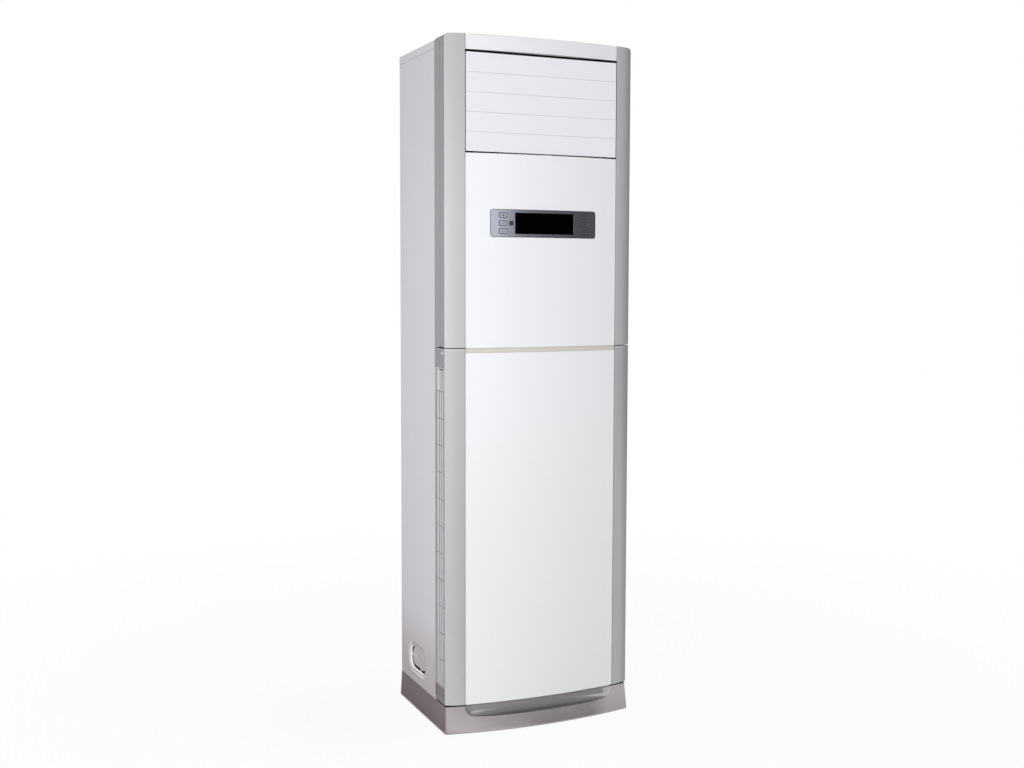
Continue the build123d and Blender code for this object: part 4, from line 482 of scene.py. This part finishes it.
# ---- intake grilles ------------------------------------------------------------------------
# Tilt-out grilles in a paler silver, moulded in cells of four upright slots with a finger
# grip at the top. They swing on two pins at the foot.
GRILLE_CELL = 0.0695
GRILLE_FOOT_TOP = (0.115, 0.117)  # below this the grille is tinted darker, close to the plinth's grey
GRIP_FOOT = (0.8837, 0.8847)
GRILLE_FACE_X = (0.2622, 0.2628)  # the grooves lie inside this, the face outside
grille_silver = lacquer("grille_silver", srgb(236, 236, 238), 0.45)
grille_silver.grey(grille_silver.axis("Z").wave(GRILLE_CELL) * 0.5, 0.96)
grille_silver.tint(1 - grille_silver.axis("Z").rise(*GRILLE_FOOT_TOP), (0.5, 0.46, 0.47))
grooved = 1 - grille_silver.axis("X").math("ABSOLUTE").rise(*GRILLE_FACE_X)
# painted shade in the grooves, and more in the slots below the grip
grille_silver.grey(grooved, 0.8)
grille_silver.grey(grooved * (1 - grille_silver.axis("Z").rise(*GRIP_FOOT)), 0.68)
coat(grille_silver, "left_intake_grille", "right_intake_grille")

# ---- air filters ---------------------------------------------------------------------------
# Washable filters clipped behind the grilles: grey woven nylon net, about one thread a
# millimetre, welded into a ribbed frame.
THREAD_PITCH = 0.0011
filter_net = Finish("filter_mesh", srgb(104, 104, 107), 0.6)
threads = filter_net.axis("Y").wave(THREAD_PITCH).math("MAXIMUM", filter_net.axis("Z").wave(THREAD_PITCH))
filter_net.grey(1 - threads.rise(0.55, 0.85), 0.45)
filter_net.grey(filter_net.noise(30, 3), 0.9)
filter_net.bump(threads * 0.0002)
coat(filter_net, "left_filter", "right_filter")

# ---- white front ---------------------------------------------------------------------------
# Bowed front panels and the bar over the outlet, moulded in white plastic and polished. The
# gloss is even, with the faint waves and hairlines of a wiped surface.
LOWER_WARMTH = (0.2, 1.0)  # heights over which the lower panel's slightly darker, warmer tint ends
TOP_BAR_FOOT = (1.730, 1.732)
white_panel = Finish("white_panel", srgb(240, 241, 244), 0.24, edge=0.0016, Coat_Roughness=0.08)
white_panel.grey(white_panel.noise(1.6, 2), 0.985)
white_panel.tint(1 - white_panel.axis("Z").rise(*LOWER_WARMTH), (0.975, 0.97, 0.945))
white_panel.grey(white_panel.axis("Z").rise(*TOP_BAR_FOOT), 0.955)
hairline = white_panel.noise(160, 3, (1, 1, 0.05)).rise(0.62, 0.8)
white_panel.gloss(white_panel.noise(18, 3) * 0.7 + hairline * 0.3, 0.2, 0.32)
white_panel.feed("Coat Weight", white_panel.noise(7, 2) * 0.3 + 0.1)
white_panel.bump(white_panel.noise(11, 1) * 0.0002 + white_panel.noise(700, 1) * 0.000004)
coat(white_panel, "top_bar", "upper_front_panel", "lower_front_panel")

# ---- trim strip ----------------------------------------------------------------------------
# Pale warm band between the two panels, painted with a fine pearl and clipped behind both.
trim_plastic = Finish("trim_plastic", srgb(214, 209, 200), 0.3, edge=0.0008)
pearl = trim_plastic.noise(2400, 0)
trim_plastic.grey(pearl.rise(0.3, 0.7), 0.95)
trim_plastic.grey(trim_plastic.noise(12, 2), 0.97)
trim_plastic.gloss(pearl, 0.24, 0.4)
trim_plastic.bump(pearl * 0.000006)
coat(trim_plastic, "trim_strip")

# ---- outlet --------------------------------------------------------------------------------
# Black air mouth with five satin white louvres, six black vanes behind them, their two links
# and two steppers. The black pieces have the dull fine grain of spark-eroded moulds.
blade_plastic = Finish("blade_plastic", srgb(237, 238, 243), 0.36, edge=0.0008)
satin = blade_plastic.noise(1500, 1)
blade_plastic.grey(blade_plastic.noise(4, 2, (1, 1, 3)), 0.98)
blade_plastic.gloss(blade_plastic.noise(25, 3, (0.3, 1, 1)), 0.3, 0.42)
blade_plastic.bump(satin * 0.00001 + blade_plastic.noise(8, 1, (1, 1, 3)) * 0.0001)
coat(blade_plastic, *[f"louver_{number}" for number in range(1, 6)])

dark_plastic = Finish("dark_plastic", srgb(30, 30, 32), 0.5, edge=0.0006)
eroded = dark_plastic.noise(1700, 2)
dark_plastic.grey(dark_plastic.noise(7, 3), 0.75)
dark_plastic.gloss(eroded, 0.42, 0.65)
dark_plastic.bump(eroded * 0.00004)
coat(dark_plastic, "outlet_frame", "louver_link", "vane_link", *[f"vane_{number}" for number in range(1, 7)])

motor_steel = Finish("motor_steel", srgb(190, 190, 186), 0.3, edge=0.0005, Metallic=1.0)
drawn = motor_steel.noise(900, 2, (1, 0.1, 1))
motor_steel.grey(drawn, 0.85)
motor_steel.gloss(drawn, 0.2, 0.4)
motor_steel.bump(drawn * 0.00001)
coat(motor_steel, "louver_motor", "vane_motor", "fan_motor", "fan_shaft")

# ---- control panel -------------------------------------------------------------------------
# Silver lacquered surround let into the upper panel, with a black window over the display, a
# small dark receiver window and six push buttons that carry plain raised symbols.
BEZEL_MIDDLE_Z = 1.3096
BEZEL_HALF = (0.1487, 0.0349)
BEZEL_RIM = (0.0007, 0.0016)  # dark line inside its outline
BUTTON_X, BUTTON_PITCH = 0.1145, 0.0202
BUTTON_HALF = (0.011, 0.0066)
BUTTON_RIM_SHADE = (0.0006, 0.0012)
DIODE_PITCH = 0.004
SYMBOL_LINE = 0.62  # millimetres
SYMBOL_RISE = 0.12
SYMBOL_SINK = 0.05


def inside(across, up, half):
    """Distance in from the nearest side of a rectangle about zero, by its half sizes."""
    to_side = half[0] - across.math("ABSOLUTE")
    return to_side.math("MINIMUM", half[1] - up.math("ABSOLUTE"))


bezel_silver = Finish("bezel_silver", srgb(204, 208, 220), 0.14, edge=0.0006, Metallic=1.0)
spark = bezel_silver.noise(3200, 0)
bezel_silver.grey(spark.rise(0.3, 0.7), 0.95)
bezel_silver.grey(bezel_silver.noise(20, 2), 0.97)
margin = inside(bezel_silver.axis("X"), bezel_silver.axis("Z") - BEZEL_MIDDLE_Z, BEZEL_HALF)
bezel_silver.grey(1 - margin.rise(*BEZEL_RIM), 0.45)
bezel_silver.gloss(spark, 0.1, 0.18)
bezel_silver.bump(spark * 0.000002)
coat(bezel_silver, "control_bezel")

smoked_window = Finish("smoked_window", srgb(1, 1, 2), 0.1, Specular_IOR_Level=0.03)
smoked_window.gloss(smoked_window.noise(40, 3), 0.06, 0.16)
smoked_window.tint(smoked_window.noise(3, 1), (0.9, 0.9, 1.0))
coat(smoked_window, "display_window")

receiver_window = Finish("receiver_window", srgb(76, 75, 66), 0.2, edge=0.0004, Specular_IOR_Level=0.3)
diodes = receiver_window.axis("X").wave(DIODE_PITCH) * receiver_window.axis("Z").wave(DIODE_PITCH)
receiver_window.grey(diodes.rise(0.3, 0.8), 0.6)
receiver_window.gloss(receiver_window.noise(90, 2), 0.12, 0.3)
coat(receiver_window, "sensor_window")

button_plastic = Finish("button_plastic", srgb(202, 205, 218), 0.26, edge=0.0004, Metallic=1.0)
button_spark = button_plastic.noise(3200, 0)
button_plastic.grey(button_spark.rise(0.3, 0.7), 0.92)
rows = (button_plastic.axis("Z") - (BEZEL_MIDDLE_Z - 1.5 * BUTTON_PITCH)) * (1 / BUTTON_PITCH)
above = (rows.math("FRACT") - 0.5) * BUTTON_PITCH
margin = inside(button_plastic.axis("X").math("ABSOLUTE") - BUTTON_X, above, BUTTON_HALF)
# painted shade round each button's edge, at its gap in the bezel
button_plastic.grey(1 - margin.rise(*BUTTON_RIM_SHADE), 0.2)
button_plastic.gloss(button_plastic.noise(200, 2), 0.14, 0.22)
button_plastic.bump(button_spark * 0.000002)

circuit_board = Finish("board_green", srgb(26, 92, 58), 0.35, edge=0.0003)
traces = circuit_board.node(
    "ShaderNodeTexVoronoi", {"feature": "DISTANCE_TO_EDGE"},
    {"Vector": circuit_board.place(), "Scale": 260.0}, output="Distance",
)
circuit_board.tint(1 - traces.rise(0.03, 0.08), (0.6, 0.75, 0.6))
circuit_board.grey(circuit_board.noise(60, 3), 0.8)
circuit_board.bump((1 - traces.rise(0.03, 0.08)) * 0.00004)
coat(circuit_board, "display_board")

symbol_ink = Finish("symbol_ink", srgb(62, 63, 70), 0.45)
symbol_ink.grey(symbol_ink.noise(900, 2), 0.8)
symbol_ink.gloss(symbol_ink.noise(500, 2), 0.4, 0.55)


def arc(x, z, radius, start, end):
    """Points at even angles round a circle, in degrees from the right: x + r cos a, z + r sin a."""
    angle = np.radians(np.linspace(start, end, 25))
    return np.stack([x + radius * np.cos(angle), z + radius * np.sin(angle)], -1)


def stroke(path):
    """A square bead along a flat path: each point is moved half a line width to either side
    along the path's normal, on the button's face and just above it."""
    path = np.asarray(path, float)
    closed = np.allclose(path[0], path[-1])
    along = np.gradient(path, axis=0)
    if closed:
        along[0] = along[-1] = path[1] - path[-2]
    along /= np.linalg.norm(along, axis=1, keepdims=True)
    side = np.stack([-along[:, 1], along[:, 0]], -1) * SYMBOL_LINE / 2
    low, high = path - side, path + side
    ring = [(low, SYMBOL_SINK), (high, SYMBOL_SINK), (high, -SYMBOL_RISE), (low, -SYMBOL_RISE)]
    points = np.stack([np.insert(flat, 1, depth, axis=1) for flat, depth in ring], 1)
    if closed:
        points = points[:-1]
    faces = grid_faces(len(points) + closed, 4, wrap=True)
    count = len(points) * 4
    faces = [[index % count for index in face] for face in faces]
    if not closed:
        faces += [[3, 2, 1, 0], [count - 4, count - 3, count - 2, count - 1]]
    return points.reshape(-1, 3), faces


def turned_by(path, degrees):
    angle = math.radians(degrees)
    spin = np.array([[math.cos(angle), math.sin(angle)], [-math.sin(angle), math.cos(angle)]])
    return np.asarray(path, float) @ spin


SYMBOLS = {
    "fan_button": [turned_by(arc(1.6, 0, 1.25, 0, 360), 90 + 120 * blade) for blade in range(3)],
    "up_button": [[(-2.6, -1.2), (0, 1.3), (2.6, -1.2)]],
    "down_button": [[(-2.6, 1.2), (0, -1.3), (2.6, 1.2)]],
    "mode_button": [turned_by([(-2.6, 0), (0, 0), (2.6, 0)], 60 * arm) for arm in range(3)],
    "power_button": [arc(0, -0.2, 2.4, 125, 415), [(0, -0.2), (0, 1.2), (0, 2.7)]],
    "timer_button": [arc(0, 0, 2.6, 0, 360), [(0, 1.5), (0, 0), (1.2, -0.6)]],
}
for button, strokes in SYMBOLS.items():
    coat(button_plastic, button)
    low, high = (np.array(corner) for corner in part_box(button))
    centre = np.array([(low[0] + high[0]) / 2, low[1], (low[2] + high[2]) / 2])
    points, faces = [], []
    for path in strokes:
        bead, bead_faces = stroke(path)
        faces += [[index + sum(map(len, points)) for index in face] for face in bead_faces]
        points.append(bead)
    points = np.concatenate(points) / 1000 + centre
    symbol = piece(f"{button}_symbol", points, faces, symbol_ink.material, False)
    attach(symbol, button)

# ---- fan -----------------------------------------------------------------------------------
# Black moulded wheel, scroll and bell mouth, the wheel on a ground steel shaft. The scroll
# halves are ribbed mouldings with a coarser skin than the outlet.
fan_plastic = Finish("fan_plastic", srgb(34, 35, 38), 0.55, edge=0.0005)
skin = fan_plastic.noise(800, 3)
fan_plastic.grey(fan_plastic.noise(12, 4), 0.7)
fan_plastic.gloss(skin, 0.45, 0.7)
fan_plastic.bump(skin * 0.00006)
coat(fan_plastic, "fan_wheel", "volute", "inlet_ring", "drain_pan")

# ---- cooling coil --------------------------------------------------------------------------
# Corrugated aluminium fins two millimetres apart, pressed on copper tubes between two steel
# end plates with fixing ears, the whole block leaning back. The tube bends are the CAD's.
COIL_MIDDLE = (0.0, 0.010075, 1.045)
COIL_HALF = (0.225, 0.019, 0.37808)
COIL_LEAN = math.atan2(0.26015, 0.71)
FIN_PITCH = 0.002
FIN_WALL = 0.00015
FIN_RIPPLE = 0.00035
FIN_BENDS = 7
END_PLATE = 0.0015
END_HALF_DEPTH = 0.023
END_EDGE = 0.0004
EAR_PLACES = (-0.22685, 0.22685)
EAR_LENGTH = 0.030
EAR_REACH = 0.2619


def leaning(points):
    """Coil coordinates to the cabinet's: turned back about X by the lean, then moved."""
    x, y, z = np.moveaxis(np.asarray(points, float), -1, 0)
    sine, cosine = math.sin(COIL_LEAN), math.cos(COIL_LEAN)
    return np.stack([x, y * cosine + z * sine, z * cosine - y * sine], -1) + COIL_MIDDLE


def prism(ring, shift):
    """Points and faces of a closed prism: a ring of points and the same ring shifted."""
    ring = np.asarray(ring, float)
    count = len(ring)
    caps = [list(range(count))[::-1], list(range(count, 2 * count))]
    return np.concatenate([ring, ring + shift]), grid_faces(2, count, wrap=True) + caps


def gather(name, shapes, material):
    """One piece from several closed shapes."""
    points = np.concatenate([points for points, _ in shapes])
    starts = np.cumsum([0] + [len(points) for points, _ in shapes])
    faces = [
        [index + start for index in face]
        for (_, shape_faces), start in zip(shapes, starts.tolist()) for face in shape_faces
    ]
    return piece(name, points, faces, material, False)


fin_y = np.linspace(-COIL_HALF[1], COIL_HALF[1], FIN_BENDS)
fin_x = FIN_RIPPLE * (-1.0) ** np.arange(FIN_BENDS)
fin_z = np.full(FIN_BENDS, -COIL_HALF[2])
fin_ring = np.concatenate([
    np.stack([fin_x, fin_y, fin_z], -1), np.stack([fin_x + FIN_WALL, fin_y, fin_z], -1)[::-1]
])
fin_places = np.arange(-COIL_HALF[0] + FIN_PITCH / 2, COIL_HALF[0], FIN_PITCH)
fin_shapes = []
for place in fin_places:
    fin_points, fin_faces = prism(fin_ring + (place, 0, 0), (0, 0, 2 * COIL_HALF[2]))
    fin_shapes.append((leaning(fin_points), fin_faces))

fin_metal = Finish("coil_fins", srgb(196, 202, 206), 0.35, Metallic=0.9)
fin_metal.grey(fin_metal.noise(40, 4), 0.85)
fin_metal.grey(fin_metal.noise(8, 2, (1, 1, 0.2)), 0.93)
fin_metal.gloss(fin_metal.noise(120, 2), 0.28, 0.45)
fins = gather("coil_fin_pack", fin_shapes, fin_metal.material)
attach(fins, "cabinet")

end_shapes = []
for side in (-1, 1):
    x0 = side * COIL_HALF[0]
    width = side * END_PLATE
    corner = np.array([(-1, -1), (1, -1), (1, 1), (-1, 1)])
    plate_ring = np.column_stack([np.full(4, x0), corner * (END_HALF_DEPTH, COIL_HALF[2])])
    end_shapes.append(prism(plate_ring[::-side], (width, 0, 0)))
    for place in EAR_PLACES:
        ear = [(END_HALF_DEPTH - END_PLATE, place), (END_HALF_DEPTH, place),
               (END_HALF_DEPTH, place + EAR_LENGTH), (END_HALF_DEPTH - END_PLATE, place + EAR_LENGTH)]
        ear_ring = np.column_stack([np.full(4, x0 + width), ear])
        end_shapes.append(prism(ear_ring[::-side], (side * EAR_REACH - x0 - width, 0, 0)))
end_shapes = [(leaning(points), faces) for points, faces in end_shapes]
ends = gather("coil_end_plates", end_shapes, galvanised.material)
bend = ends.modifiers.new("edge", "BEVEL")
bend.width = END_EDGE
bend.segments = 2
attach(ends, "cabinet")
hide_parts("evaporator")
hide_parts("evaporator")

copper = Finish("copper_pipe", srgb(196, 122, 84), 0.3, Metallic=1.0)
tarnish = copper.noise(35, 5)
copper.tint(tarnish.rise(0.45, 0.75), (0.62, 0.5, 0.42))
copper.grey(copper.noise(400, 2), 0.9)
copper.gloss(tarnish, 0.2, 0.5)
copper.bump(copper.noise(200, 2) * 0.00003)
coat(copper, "evaporator_tubes", "refrigerant_pipes")

# ---- drain hose ----------------------------------------------------------------------------
# Pale corrugated hose, ribbed every four millimetres, pushed on the pan's spout.
RIB_PITCH = 0.004
HOSE_BEND = (0.11, 0.13)  # heights between its level and its upright stretch
hose_plastic = Finish("hose_plastic", srgb(204, 203, 198), 0.5)
upright = hose_plastic.axis("Z").rise(*HOSE_BEND)
upright_rib = hose_plastic.axis("Z").wave(RIB_PITCH) * upright
rib = upright_rib + hose_plastic.axis("Y").wave(RIB_PITCH) * (1 - upright)
hose_plastic.grey(1 - rib, 0.8)
hose_plastic.grey(hose_plastic.noise(40, 3), 0.92)
hose_plastic.bump(rib * 0.0006)
coat(hose_plastic, "drain_hose")

# ---- casing screws -------------------------------------------------------------------------
# Zinc-plated pan-head screws with a cross recess: twelve along the back plates, one over
# each grille and one through the wall bracket. Heads are eight millimetres across.
HEAD_RADIUS = 4.0
HEAD_SIDES = 32
CROWN_EDGE = 0.84  # share of the head's radius where the crown turns into the rim
CROWN_FALL = 0.22  # how far a crown as wide as the head would fall, as a share of its height
RIM_RISE = 0.845  # height of the rim's top, as a share of the head's
SHANK_RADIUS = 1.8
SHANK_LENGTH = 8.0
SHANK_RINGS = 15  # every second one is a thread's root
THREAD_DEPTH = 0.2
CROSS = (0.5, 2.1, 0.3)  # half width, half length and wall slope of the recess
CROSS_DEPTH = 0.6  # share of the head's height
BACK_HEAD, STRIP_HEAD = 1.8, 0.9  # heights of the heads
BACK_PLACES = [(x, 189.15, z) for x in (-255.9, 255.9) for z in (110, 532, 954, 1034, 1372, 1710)]
STRIP_PLACE = (263.5, -138.95, 981.4)  # on the right; the left one is its mirror
BRACKET_PLACE = (0, 171.15, 1771.5)


def screw(place, out, head):
    """A surface of revolution, r along its profile and a round it, with a cross sunk in the
    crown: the depth is that of the nearer of two bars, each falling off at its walls."""
    crown = np.linspace(0, CROWN_EDGE, 12) * HEAD_RADIUS
    crown_rise = head * (1 - CROWN_FALL * (crown / HEAD_RADIUS) ** 2)
    turn_in = np.radians(np.linspace(20, 90, 5))
    rim = (CROWN_EDGE + (1 - CROWN_EDGE) * np.sin(turn_in)) * HEAD_RADIUS
    rim_rise = head * RIM_RISE * np.cos(turn_in)
    depth = np.linspace(0, SHANK_LENGTH - 1, SHANK_RINGS)
    shank = SHANK_RADIUS - THREAD_DEPTH * (np.arange(SHANK_RINGS) % 2)
    radius = np.concatenate([crown, rim, shank, [0.0]])
    rise = np.concatenate([crown_rise, rim_rise, -depth, [-SHANK_LENGTH]])
    angle = np.linspace(0, 2 * math.pi, HEAD_SIDES + 1)[:-1]
    across, up = radius[:, None] * np.cos(angle), radius[:, None] * np.sin(angle)
    half_width, half_length, slope = CROSS
    bars = [
        np.clip((half_width - abs(a)) / slope, 0, 1) * np.clip((half_length - abs(b)) / slope, 0, 1)
        for a, b in ((across, up), (up, across))
    ]
    sunk = np.where(rise[:, None] > 0, np.maximum(*bars), 0) * head * CROSS_DEPTH
    out = np.array(out, float)
    first = np.cross(out, (0.36, 0.48, 0.8))
    first /= np.linalg.norm(first)
    second = np.cross(out, first)
    points = across[..., None] * first + up[..., None] * second + (rise[:, None] - sunk)[..., None] * out
    return (points.reshape(-1, 3) + place) / 1000, grid_faces(len(radius), HEAD_SIDES, wrap=True)


screw_shapes = [screw(place, (0, 1, 0), BACK_HEAD) for place in BACK_PLACES]
screw_shapes += [
    screw((side * STRIP_PLACE[0], *STRIP_PLACE[1:]), (side, 0, 0), STRIP_HEAD) for side in (-1, 1)
]
screw_shapes.append(screw(BRACKET_PLACE, (0, 0, 1), BACK_HEAD))

# near-white heads: pale plating, lifted to white as a painted highlight on the heads
screw_steel = Finish("screw_steel", srgb(247, 247, 248), 0.25, Metallic=0.15)
screw_steel.grey(screw_steel.noise(700, 3), 0.93)
screw_steel.gloss(screw_steel.noise(500, 2), 0.18, 0.36)
screws = gather("casing_screw_set", screw_shapes, screw_steel.material)
screws.data.polygons.foreach_set("use_smooth", [True] * len(screws.data.polygons))
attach(screws, "cabinet")
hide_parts("casing_screws")
